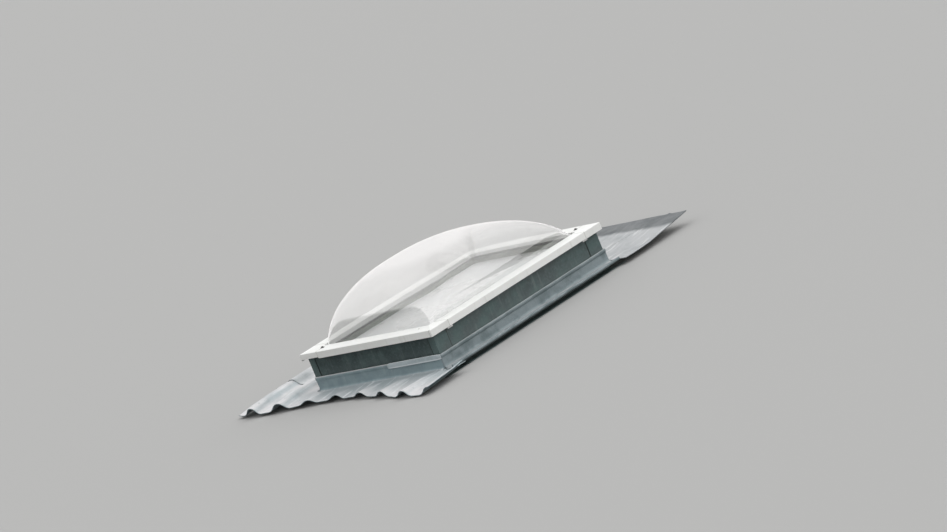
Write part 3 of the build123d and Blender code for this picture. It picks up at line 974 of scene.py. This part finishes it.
@dataclass
class Dome:
    """The formed dome with its flat rim, as a smooth shell."""

    sheet: float = 0.003
    inset: float = 0.069
    rise: float = 0.1952
    lean: float = 0.030
    foot_radius: float = 0.020
    rim_inset: float = 0.014
    side_power: float = 3.64
    side_root: float = 0.184
    end_power: float = 0.76
    end_root: float = 0.197
    corner_power: float = 2.27
    corner_share: float = 0.96
    corner_most: float = 0.999
    corner_ease: float = 1.35
    levels: int = 64
    level_power: int = 3
    corner_steps: int = 16
    straight_steps: int = 14
    half_width: float = field(init=False)
    half_length: float = field(init=False)
    foot: float = field(init=False)

    def __post_init__(self) -> None:
        """Reads the rim's level and the dome's foot from the solids."""
        low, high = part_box("dome")
        self.half_width = high.x + self.rim_inset
        self.half_length = high.y + self.rim_inset
        self.foot = low.z + self.sheet

    def outline(self, half_w: float, half_l: float, radius: float, z: float) -> list[Vector]:
        """One level outline, a rectangle with rounded corners.

        Args:
            half_w: half the width.
            half_l: half the length.
            radius: the corner radius.
            z: the level.

        Returns:
            The points, in order round the dome.
        """
        # A corner reaches further along the sides than its radius, and cuts off as much as a round one.
        points = []
        reach = min(self.corner_ease * radius, half_w, half_l)
        power = -1 / math.log2(1 - (1 - math.sqrt(0.5)) * radius / reach)
        for quarter, (sx, sy) in enumerate(((1, -1), (1, 1), (-1, 1), (-1, -1))):
            centre = Vector((sx * (half_w - reach), sy * (half_l - reach), z))
            start = (quarter - 1) * QUARTER
            arc = []
            for a in turned(1, self.corner_steps):
                across, along = (math.copysign(abs(turn(start + a)) ** (2 / power), turn(start + a))
                                 for turn in (math.cos, math.sin))
                arc.append(centre + reach * Vector((across, along, 0)))
            if points:
                points += self.straight(points[-1], arc[0])
            points += arc
        return points + self.straight(points[-1], points[0]) + [points[0].copy()]

    def straight(self, start: Vector, end: Vector) -> list[Vector]:
        """Points inside one straight side, without its ends."""
        return [start.lerp(end, i / self.straight_steps) for i in range(1, self.straight_steps)]

    def level(self, share: float) -> list[Vector]:
        """The outline at a share of the rise.

        Args:
            share: 0 at the foot and just under 1 at the crown.

        Returns:
            The outline's points.
        """
        half_w = (self.half_width - self.inset) * (1 - share ** self.side_power) ** self.side_root
        half_l = (self.half_length - self.inset) * (1 - share ** self.end_power) ** self.end_root
        least = min(half_w, half_l)
        growth = share ** self.corner_power
        radius = self.foot_radius + (self.corner_share * least - self.foot_radius) * growth
        points = self.outline(half_w, half_l, min(radius, self.corner_most * least),
                              self.foot + self.rise * share)
        return [point - Vector((0, self.lean * share, 0)) for point in points]

    def build(self, effects: Effects) -> None:
        """Makes and dresses the shell: rim, wall and crown.

        Args:
            effects: the shared effects.
        """
        rows = [self.outline(self.half_width - self.rim_inset, self.half_length - self.rim_inset,
                             self.foot_radius, self.foot)]
        rows += [self.level(1 - (1 - i / self.levels) ** self.level_power) for i in range(self.levels)]
        crown = Vector((0, -self.lean, self.foot + self.rise))
        rows.append([crown.copy() for _ in rows[0]])
        skin = Skin("clear_dome")
        skin.add(rows[::-1])
        dress(skin.finish(self.sheet), ClearAcrylic().make(effects), "dome_acrylic", "dome")


@dataclass
class LeadSheet:
    """Sizes and hand work that all the flashings share. Each lies on one side, over its laps."""

    side: Side = Side.FRONT
    lead: float = 0.0025
    inset: float = 0.0177
    bed: float = 0.0175
    laps: int = 0
    lap_gap: float = 0.0006
    top: float = 0.076
    welt: float = 0.014
    welt_round: float = 0.0015
    welt_flat: float = 0.6
    welt_tuck: float = 0.001
    welt_clear: float = 0.004
    bend: float = 0.012
    bend_steps: int = 8
    fold: float = 0.020
    roll_pitch: float = 0.150
    roll_height: float = 0.025
    roll_width: float = 0.107
    roll_peak: float = -0.004
    least_roll: float = 0.000001
    step: float = 0.008
    dent: float = 0.0011
    dent_scale: float = 11.0
    close_scale: float = 3.1
    close_share: float = 0.45
    close_shift: Way = (7.3, 1.9, 4.4)
    settle: float = 0.03
    wall_settle: float = 0.015
    wall_hand: float = 0.7
    half_width: float = field(init=False)
    half_length: float = field(init=False)
    under: float = field(init=False)
    floor: float = field(init=False)

    def __post_init__(self) -> None:
        """Reads the frame's outline from the solids and works out the sheet's level over its laps."""
        self.half_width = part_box("frame_right")[1].x - self.inset
        self.half_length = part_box("frame_back")[1].y - self.inset
        self.under = self.bed + self.laps * (self.lead + self.lap_gap)
        self.floor = self.under + self.lead

    def place(self, s: float, out: float, z: float) -> Vector:
        """A point given by its place along the side from its middle, its distance out and its height."""
        half = self.half_width if self.side.axis else self.half_length
        return self.side.along * s + self.side.outward * (half + out) + Vector((0, 0, z))

    def roll(self, x: float, height: float) -> float:
        """The lift of the sheet over the roof's rolls.

        Args:
            x: the place across the slope.
            height: the height of the roll's crown here.

        Returns:
            The lift, made of tangent arcs.
        """
        half = self.roll_width / 2
        offset = abs((x - self.roll_peak + self.roll_pitch / 2) % self.roll_pitch - self.roll_pitch / 2)
        if offset >= half or height < self.least_roll:
            return 0.0
        angle = 2 * math.atan(height / half)
        radius = half / (2 * math.sin(angle))
        if offset > half / 2:
            return radius - math.sqrt(max(0.0, radius ** 2 - (half - offset) ** 2))
        return height - radius + math.sqrt(max(0.0, radius ** 2 - offset ** 2))

    def dressed(self, s: float, out: float, z: float, amount: float, way: Vector = UP) -> Vector:
        """A point of the sheet, moved by the small unevenness that dressing by hand leaves.

        Args:
            s: the place along the side.
            out: the distance from the kerb.
            z: the height.
            amount: how strong the unevenness is here.
            way: the direction that it goes in.

        Returns:
            The point.
        """
        point = self.place(s, out, z)
        broad = noise.noise(point * self.dent_scale)
        close = noise.noise(point * self.dent_scale * self.close_scale + Vector(self.close_shift))
        return point + way * (amount * self.dent * (broad + self.close_share * close))

    def beside(self, s: float) -> float:
        """How free the sheet lies past the end of the kerb, from 0 to 1."""
        return ease((abs(s) - self.half_width) / self.settle)

    def past_fold(self, out: float) -> float:
        """How free of its fold the sheet lies, from 0 to 1."""
        return ease((out - self.fold) / self.settle)

    def spot(self, s: float, out: float) -> Vector:
        """One point of the sheet in view. Each flashing has its own, in place of this flat one."""
        return self.place(s, out, self.floor)

    def flat(self, outs: list[float], stations: list[float]) -> Grid:
        """A part of the sheet that lies flat under another piece, row by row outward."""
        return [[LeadSheet.spot(self, s, out) for s in stations] for out in outs]

    def laid(self, outs: list[float], stations: list[float]) -> Grid:
        """A part of the sheet that lies in view, row by row outward."""
        return [[self.spot(s, out) for s in stations] for out in outs]

    def upstand(self, stations: list[float]) -> Grid:
        """The outer face of the upstand, from its welted top down to the fold.

        Args:
            stations: the places along the side.

        Returns:
            The grid of points.
        """
        lip, foot = 2 * self.lead, self.top - self.welt
        path = [(self.welt_flat * lip, self.top), (lip, self.top - self.welt_round),
                (lip, foot + self.welt_round), (self.welt_flat * lip, foot),
                (self.lead, foot - self.welt_tuck)]
        path += [(self.lead, z) for z in spread(foot - self.welt_clear, self.floor + self.bend, self.step)]
        path += [(self.lead + self.bend * (1 - math.cos(a)), self.floor + self.bend * (1 - math.sin(a)))
                 for a in turned(1, self.bend_steps)[1:]]
        path.append((self.fold, self.floor))
        # The wall is uneven between its bend and its welt, and true at both.
        grid = []
        for out, z in path:
            free = (ease((z - self.floor - self.bend) / self.wall_settle)
                    * ease((self.top - self.welt_clear / 2 - z) / self.welt_clear))
            grid.append([self.dressed(s, out, z, self.wall_hand * free, self.side.outward)
                         for s in stations])
        return grid


@dataclass
class Apron(LeadSheet):
    """The front flashing: an upstand, a sheet over the rolls and a wing beside the kerb."""

    left: float = 0.3675
    right: float = 0.1175
    half_way: float = 0.058
    half_way_bed: float = 0.012
    half_way_roll: float = 0.5
    reach: float = 0.245
    edge_bed: float = 0.004
    wing: float = 0.172
    right_wing: float = 0.070
    right_wing_width: float = 0.058
    edge: tuple[float, ...] = (0.099, 0.119, 0.113, 0.176, 0.228)
    ragged: float = 0.004
    ragged_scale: float = 23.0
    ragged_shift: float = 3.0

    def edge_at(self, x: float) -> float:
        """How far out the sheet's free edge lies, on one curve through the places read along it.

        Args:
            x: the place across the slope.

        Returns:
            The distance from the kerb.
        """
        x0, x1 = -self.half_width - self.left, self.half_width + self.right
        knots = [x0 + (x1 - x0) * i / (len(self.edge) - 1) for i in range(len(self.edge))]
        reach = 0.0
        for knot, value in zip(knots, self.edge):
            reach += value * math.prod((x - other) / (knot - other) for other in knots if other != knot)
        tear = 0.5 + noise.noise(Vector((x * self.ragged_scale, self.ragged_shift, 0.0)))
        return reach - self.ragged * tear

    def along_slope(self, out: float, levels: tuple[float, float, float]) -> float:
        """Reads a height between the fold, the half-way line and the far reach of the sheet."""
        outs = (self.fold, self.fold + self.half_way, self.fold + self.reach)
        return between(out, list(zip(outs, levels)))

    def crown(self, x: float, out: float) -> float:
        """The height of the roll at a place.

        Args:
            x: the place across the slope.
            out: the distance from the kerb.

        Returns:
            The crown's height.
        """
        nearest = self.roll_peak + self.roll_pitch * round((x - self.roll_peak) / self.roll_pitch)
        if abs(nearest) - self.roll_width / 2 >= self.half_width:
            return self.roll_height
        return self.roll_height * self.along_slope(out, (0.0, self.half_way_roll, 1.0))

    def top_at(self, x: float, out: float) -> float:
        """The height of the sheet's upper face at a place."""
        bed = self.along_slope(out, (self.bed, self.half_way_bed, self.edge_bed))
        return bed + self.lead + self.roll(x, self.crown(x, out))

    def spot(self, s: float, out: float) -> Vector:
        """One point of the sheet over the rolls."""
        return self.dressed(s, out, self.top_at(s, out), max(self.beside(s), self.past_fold(out)))

    def build(self) -> Piece:
        """Makes the apron.

        Returns:
            The apron.
        """
        inner = spread(-self.half_width, self.half_width, self.step)
        outer_left = spread(-self.half_width - self.left, -self.half_width, self.step)
        outer_right = spread(self.half_width, self.half_width + self.right, self.step)
        stations = outer_left + inner[1:] + outer_right[1:]
        rows = math.ceil(max(self.edge) / self.step)
        skin = Skin("dressed_apron")
        skin.add(self.upstand(inner))
        skin.add([[self.spot(x, self.fold + (self.edge_at(x) - self.fold) * j / rows) for x in stations]
                  for j in range(rows + 1)])
        skin.add(self.laid(spread(self.fold - self.wing, self.fold, self.step), outer_left))
        covered = spread(self.half_width, self.half_width + self.right_wing_width, self.step)
        skin.add([[self.place(x, out, self.top_at(x, self.fold)) for x in covered]
                  for out in spread(self.fold - self.right_wing, self.fold, self.step)])
        return skin.finish(self.lead)


@dataclass
class LeftSheet(LeadSheet):
    """The left flashing: an upstand and a wide sheet over two rolls, lapped on the apron's wing."""

    side: Side = Side.LEFT
    laps: int = 1
    width: float = 0.3675
    wing: float = 0.172
    lap: float = 0.030
    tongue: float = 0.050
    tongue_width: float = 0.058
    by_hand: float = 0.8

    def spot(self, s: float, out: float) -> Vector:
        """One point of the sheet over the rolls.

        Args:
            s: the place along the side.
            out: the distance from the kerb.

        Returns:
            The point.
        """
        free = self.past_fold(out) * ease((s + self.half_length) / self.settle)
        height = self.floor + self.roll(-self.half_width - out, self.roll_height)
        return self.dressed(s, out, height, self.by_hand * free)

    def build(self) -> Piece:
        """Makes the sheet.

        Returns:
            The sheet.
        """
        end = self.half_length
        front = end + self.fold - self.wing + self.lap
        skin = Skin("dressed_left_sheet")
        skin.add(self.upstand(spread(-end, end, self.step)))
        skin.add(self.laid(spread(self.fold, self.width, self.step), spread(-end, front, self.step)))
        skin.add(self.flat(spread(self.fold, self.tongue_width, self.step),
                           spread(-end - self.tongue, -end, self.step)))
        return skin.finish(self.lead)


@dataclass
class RightGutter(LeadSheet):
    """The right flashing: an upstand and a narrow gutter with an upturned edge, lapped on the apron."""

    side: Side = Side.RIGHT
    laps: int = 1
    width: float = 0.058
    upturn: float = 0.014
    tail: float = 0.050
    edge_round: float = 0.004
    floor_settle: float = 0.01
    by_hand: float = 0.6

    def strip(self, path: list[tuple[float, float]], stations: list[float]) -> Grid:
        """A length of the gutter's floor.

        Args:
            path: pairs of distance from the kerb and height across the gutter.
            stations: the places along the side.

        Returns:
            The grid of points.
        """
        ends = [self.by_hand * ease((self.half_length - abs(s)) / self.settle) for s in stations]
        return [[self.dressed(s, out, z, free * ease((out - self.fold) / self.floor_settle))
                 for s, free in zip(stations, ends)] for out, z in path]

    def build(self) -> Piece:
        """Makes the gutter.

        Returns:
            The gutter.
        """
        ends, outer, turn = self.half_length + 2 * self.lead, self.width - self.lead, self.edge_round
        path = [(out, self.floor) for out in spread(self.fold, outer - turn, self.step / 2)]
        upturned = [(outer - turn / 3, self.floor + turn / 3), (outer, self.floor + turn),
                    (outer, self.under + self.upturn)]
        skin = Skin("dressed_right_gutter")
        skin.add(self.upstand(spread(-ends, ends, self.step)))
        skin.add(self.strip(path + upturned, spread(-self.half_length - self.fold, ends, self.step)))
        skin.add(self.strip(path, spread(ends, self.half_length + self.tail, self.step)))
        return skin.finish(self.lead)


@dataclass
class BackGutter(LeadSheet):
    """The back flashing: an upstand, a flat sole and a sheet rising up the slope."""

    side: Side = Side.BACK
    laps: int = 2
    side_reach: float = 0.0875
    sole: float = 0.150
    reach: float = 0.3970
    rise: float = 0.025
    crease: float = 0.0035
    crease_width: float = 0.007
    crease_slant: float = 0.60
    crease_place: float = -0.195

    def lift(self, s: float, out: float) -> float:
        """The height of the sheet above its bed, with its slope and its slantwise fold.

        Args:
            s: the place along the side.
            out: the distance from the kerb.

        Returns:
            The lift.
        """
        slope = self.rise * max(0.0, out - self.sole) / (self.reach - self.sole)
        away = -s - self.crease_slant * (self.half_length + out) - self.crease_place
        return slope + self.crease * math.exp(-(away / self.crease_width) ** 2)

    def spot(self, s: float, out: float) -> Vector:
        """One point of the sheet behind the kerb."""
        free = max(self.beside(s), self.past_fold(out))
        return self.dressed(s, out, self.floor, free) + UP * (free * self.lift(s, out))

    def build(self) -> Piece:
        """Makes the gutter.

        Returns:
            The gutter.
        """
        past = self.half_width + self.side_reach
        inner = spread(-self.half_width, self.half_width, self.step)
        left, right = (spread(low, high, self.step)
                       for low, high in ((-past, -self.half_width), (self.half_width, past)))
        skin = Skin("dressed_back_gutter")
        skin.add(self.upstand(inner))
        skin.add(self.laid(spread(self.fold, self.reach, self.step / 2), left + inner[1:] + right[1:]))
        for stations in (left, right):
            skin.add(self.flat(spread(2 * self.lead, self.fold, self.step), stations))
        return skin.finish(self.lead)


@dataclass
class TopStrip(LeadSheet):
    """The strip lapped over the top edge of the apron's upstand, with a soft rounded face."""

    start: float = 0.0583
    end: float = 0.3393
    height: float = 0.021
    bulge: float = 0.0035
    bulge_power: float = 0.6
    thick: float = 0.002
    gap: float = 0.0003
    round_steps: int = 14
    length_steps: int = 90
    end_power: float = 8.0
    by_hand: float = 0.8

    def build(self) -> Piece:
        """Makes the strip.

        Returns:
            The strip.
        """
        middle, half = (self.start + self.end) / 2, (self.end - self.start) / 2
        level = self.top + self.lead - self.height / 2
        back = 2 * self.lead + self.gap + self.thick
        stations = [middle + half * math.sin(a - QUARTER) for a in turned(2, self.length_steps)]
        shares = [(1 - min(1.0, abs(x - middle) / half) ** self.end_power) ** (1 / self.end_power)
                  for x in stations]
        grid = []
        for a in turned(2, self.round_steps):
            full = math.sin(a) ** self.bulge_power
            grid.append([self.dressed(x, back + share * self.bulge * full,
                                      level + share * self.height / 2 * math.cos(a),
                                      self.by_hand * share * math.sin(a), self.side.outward)
                         for x, share in zip(stations, shares)])
        skin = Skin("dressed_top_strip")
        skin.add(grid)
        return skin.finish(self.thick)


@dataclass
class Flashings:
    """The dressed lead round the kerb. Each sheet has its own copy of the lead, some lighter or darker as
    painted light and shade.
    """

    front: WeatheredLead = WeatheredLead(fold_shade=0.55)
    # The left sheet's paler copy of the lead is a painted reflection of the bright sky on its flats.
    left: WeatheredLead = WeatheredLead(
        (0.36, 0.39, 0.40, 1), (0.22, 0.25, 0.26, 1), (0.56, 0.575, 0.585, 1), (0.72, 0.73, 0.735, 1))
    # The gutter's darker copy of the lead is painted shade.
    right: WeatheredLead = WeatheredLead(
        (0.24, 0.285, 0.30, 1), (0.16, 0.20, 0.21, 1), (0.33, 0.36, 0.37, 1), (0.50, 0.52, 0.53, 1))
    # The back sheet carries a painted shadow of the tiles and painted shade along its crease.
    back: WeatheredLead = WeatheredLead(
        (0.32, 0.345, 0.355, 1), (0.20, 0.225, 0.235, 1), (0.42, 0.435, 0.445, 1), (0.66, 0.67, 0.675, 1),
        crease=0.6)
    # The strip's very pale bloom is a painted highlight on the lower edge of its round face.
    strip: WeatheredLead = WeatheredLead(
        (0.46, 0.52, 0.545, 1), (0.36, 0.42, 0.44, 1), (0.95, 0.98, 1.0, 1), welt_low=0.0645,
        welt_high=0.0600)

    def build(self, effects: Effects) -> None:
        """Makes and dresses the sheets.

        Args:
            effects: the shared effects.
        """
        for sheet, lead, name, node in (
                (Apron(), self.front, "weathered sheet lead", "lead_apron"),
                (LeftSheet(), self.left, "paler lead of the left sheet", "lead_side_left"),
                (RightGutter(), self.right, "duller lead of the narrow gutter", "lead_side_right"),
                (BackGutter(), self.back, "damp lead of the back gutter", "lead_back_gutter"),
                (TopStrip(), self.strip, "polished lead of the strip", "lead_top_strip")):
            dress(sheet.build(), lead.make(effects, name), LEAD_SLOT, node)


@dataclass
class ClampFrame:
    """The white frame, its corner pieces and its fixings. The solids keep their shape."""

    plain: WhiteCoating = WhiteCoating()
    # The right side's frame takes a lighter copy of the coating, painted light; the front's a darker copy,
    # painted shade.
    washed: WhiteCoating = WhiteCoating((0.89, 0.90, 0.885, 1), (0.86, 0.87, 0.85, 1))
    dusty: WhiteCoating = WhiteCoating((0.81, 0.82, 0.805, 1), (0.79, 0.80, 0.78, 1))
    screw: DulledMetal = DulledMetal("dark weathered steel", (0.10, 0.10, 0.10, 1), (0.03, 0.028, 0.025, 1))
    head: DulledMetal = DulledMetal("weathered screw head", (0.10, 0.10, 0.10, 1), (0.03, 0.028, 0.025, 1),
                                    metallic=0.2, coated=(0.80, 0.81, 0.79, 1))
    clip: DulledMetal = DulledMetal("dull folded strip", (0.62, 0.63, 0.63, 1), (0.42, 0.43, 0.42, 1),
                                    metallic=0.3)

    def build(self, effects: Effects) -> None:
        """Dresses the frame.

        Args:
            effects: the shared effects.
        """
        for side in Side:
            # Painted light and shade: a lighter copy on the right, a darker copy on the front.
            coating = {Side.RIGHT: self.washed, Side.FRONT: self.dusty}.get(side, self.plain)
            joints = Joints.beside(side, "frame_corner_")
            coat(["frame_" + side.label],
                 coating.make(effects, "weathered white coating " + side.label, joints))
        coat(named("frame_corner_"), self.plain.make(effects, "weathered white coating"))
        coat(["board_screws"], self.screw.make(effects))
        coat(["frame_screws", "frame_washers"], self.head.make(effects))
        coat(["skirt_clips"], self.clip.make(effects))


@dataclass
class Kerb:
    """The timber kerb with its cladding, corner angles, seals, pane and beads."""

    angle: KerbCoating = KerbCoating(lift=0.05)
    # The right and back sides take a lighter copy of the coating, painted light; the front and left take a
    # darker copy, painted shade.
    sunny: KerbCoating = KerbCoating()
    shaded: KerbCoating = KerbCoating(lift=-0.08)
    timber: TreatedTimber = TreatedTimber()
    rubber: SpongeRubber = SpongeRubber()
    pane: OpalSheet = OpalSheet()

    def build(self, effects: Effects) -> None:
        """Dresses the kerb.

        Args:
            effects: the shared effects.
        """
        coat(named("kerb_corner_"), self.angle.make(effects, "kerb corner coating"))
        for side in Side:
            # Painted light and shade: a darker copy for the front and left, a lighter one for the right and
            # back.
            coating = self.shaded if side in (Side.FRONT, Side.LEFT) else self.sunny
            joints = Joints.beside(side, "kerb_corner_")
            coat(["cladding_" + side.label], coating.make(effects, "dark kerb coating " + side.label, joints))
            coat(["kerb_board_" + side.label, "pane_bead_" + side.label], self.timber.make(effects, side))
        coat(["dome_seal", "frame_gasket", "pane_tape"], self.rubber.make(effects))
        coat(["inner_pane"], self.pane.make(effects))


@dataclass
class Studio:
    """The pale floor, the soft light and the camera at the photograph's viewing angle."""

    azimuth: float = 46.315
    elevation: float = 10.613
    roll: float = -22.294
    distance: float = 20.034
    aim: Way = (0.0473, 0.1089, 0.2109)
    focal_pixels: float = 5439.6
    picture_width: int = 947
    sensor: float = 36.0
    clip: tuple[float, float] = (0.1, 1000.0)
    floor_size: float = 400.0
    near_floor: tuple[float, float, float, float] = (-1.5, 0.85, 1.5, 1.5)
    floor_colour: Colour = (0.42, 0.42, 0.415, 1)
    floor_bounce: Colour = (0.19, 0.18, 0.17, 1)
    floor_rough: float = 0.9
    floor_shine: float = 0.1
    sky_colour: Colour = (1.0, 1.0, 1.0, 1)
    sky_way: Way = (0.45, 0.40, 0.77)
    sky_span: tuple[float, float] = (-0.6, 0.9)
    sky_low: float = 0.78
    sky_high: float = 0.88
    backdrop: float = 1.0
    mirror_colour: Colour = (1.0, 0.98, 0.975, 1)
    mirror_way: Way = (0.0, 0.57, 0.82)
    skyline: float = 0.10
    mirror_edge: float = 0.05
    mirror_low: float = 0.12
    mirror_full: float = 1.85
    mirror_dim: float = 1.05
    dim_way: Way = (-1.0, 1.0, -0.6)
    dim_span: tuple[float, float] = (0.1, 0.8)
    lamp_way: Way = (0.50, 0.40, 0.77)
    lamp_angle: float = 70.0
    lamp_strength: float = 1.15

    def camera(self) -> None:
        """Places the camera."""
        a, e, r = (math.radians(angle) for angle in (self.azimuth, self.elevation, self.roll))
        back = Vector((math.cos(e) * math.sin(a), -math.cos(e) * math.cos(a), math.sin(e)))
        level = UP.cross(back).normalized()
        above = back.cross(level)
        right = level * math.cos(r) + above * math.sin(r)
        up = back.cross(right)
        data = bpy.data.cameras.new("camera")
        data.sensor_width = self.sensor
        data.lens = self.sensor * self.focal_pixels / self.picture_width
        data.clip_start, data.clip_end = self.clip
        camera = placed("camera", data)
        turn = Matrix((right, up, back)).transposed().to_4x4()
        camera.matrix_world = Matrix.Translation(Vector(self.aim) + back * self.distance) @ turn
        bpy.context.scene.camera = camera

    def floor(self, effects: Effects) -> None:
        """Lays the pale floor, of which only a part up the slope shows in glossy surfaces.

        Args:
            effects: the shared effects.
        """
        paint = Paint("pale floor", effects)
        colour = paint.blend(paint.looked_through(), self.floor_bounce, self.floor_colour)
        material = paint.surface(Base_Color=colour, Roughness=self.floor_rough,
                                 Specular_IOR_Level=self.floor_shine)
        half = self.floor_size / 2
        near, far = ([(x0, y0, 0), (x1, y0, 0), (x1, y1, 0), (x0, y1, 0)]
                     for x0, y0, x1, y1 in (self.near_floor, (-half, -half, half, half)))
        self.sheet("near floor", near, [(0, 1, 2, 3)], material)
        ring = [(i, (i + 1) % 4, 4 + (i + 1) % 4, 4 + i) for i in range(4)]
        self.sheet("far floor", far + near, ring, material).visible_glossy = False

    @staticmethod
    def sheet(name: str, corners: list[Way], faces: list[tuple[int, ...]], material: Material) -> Piece:
        """Makes one flat part of the floor.

        Args:
            name: the part's name.
            corners: its corner points, in metres.
            faces: its faces, as places in the list of corners.
            material: its finish.

        Returns:
            The part.
        """
        data = bpy.data.meshes.new(name)
        data.from_pydata(corners, [], faces)
        data.materials.append(material)
        part = placed(name, data)
        return part

    def sky(self) -> None:
        """Lights the scene with a soft sky that is brighter up the slope and to the right."""
        world = bpy.data.worlds.new("soft sky")
        world.use_nodes = True
        world.node_tree.nodes.clear()
        bpy.context.scene.world = world
        graph = Graph(world.node_tree)
        light = self.toward(graph, self.sky_way, self.sky_span, self.sky_low, self.sky_high)
        full = self.toward(graph, self.dim_way, self.dim_span, self.mirror_full, self.mirror_dim)
        horizon = (self.skyline, self.skyline + self.mirror_edge)
        mirrored = self.toward(graph, self.mirror_way, horizon, self.mirror_low, full)
        glow, mirror, plain = (self.background(graph, colour, strength) for colour, strength in (
            (self.sky_colour, light), (self.mirror_colour, mirrored), (self.sky_colour, self.backdrop)))
        glossy = graph.node("ShaderNodeLightPath").outputs["Is Glossy Ray"]
        seen = graph.either(graph.looked_through(), graph.either(glossy, glow, mirror), plain)
        graph.feed(graph.node("ShaderNodeOutputWorld").inputs["Surface"], seen)

    @staticmethod
    def background(graph: Graph, colour: Colour, strength: object) -> Socket:
        """One light of the sky.

        Args:
            graph: the world's tree.
            colour: its colour.
            strength: its strength.

        Returns:
            The light.
        """
        made = graph.node("ShaderNodeBackground")
        graph.fill(made, Color=colour, Strength=strength)
        return made.outputs[0]

    @staticmethod
    def toward(graph: Graph, way: Way, span: tuple[float, float], start: object, end: object) -> Socket:
        """A strength that changes towards one direction of the sky.

        Args:
            graph: the world's tree.
            way: the direction.
            span: the shares of that direction where the strength is start and end.
            start: the strength away from the direction.
            end: the strength towards the direction.

        Returns:
            The strength.
        """
        looked = graph.node("ShaderNodeTexCoord").outputs["Generated"]
        share = graph.share_along(looked, Vector(way).normalized())
        return graph.ramp(share, *span, start, end)

    def lamp(self) -> None:
        """Hangs one wide soft lamp, far away."""
        data = bpy.data.lights.new("sky lamp", "SUN")
        data.angle = math.radians(self.lamp_angle)
        data.energy = self.lamp_strength
        lamp = placed("sky lamp", data)
        lamp.rotation_mode = "QUATERNION"
        lamp.rotation_quaternion = (-Vector(self.lamp_way)).to_track_quat("-Z", "Y")
        lamp.visible_glossy = False
        lamp.visible_transmission = False

    def build(self, effects: Effects) -> None:
        """Sets up the view, the floor and the light.

        Args:
            effects: the shared effects.
        """
        self.camera()
        self.floor(effects)
        self.sky()
        self.lamp()
        view = bpy.context.scene.view_settings
        view.view_transform = "Standard"


def main() -> None:
    """Builds the dressed rooflight and its studio."""
    logging.basicConfig(level=logging.INFO, format="%(name)s %(message)s")
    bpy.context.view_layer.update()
    effects = Effects()
    for assembly in (Dome(), ClampFrame(), Kerb(), Flashings(), Studio()):
        assembly.build(effects)
    bpy.context.view_layer.update()


if __name__ == "__main__":
    main()
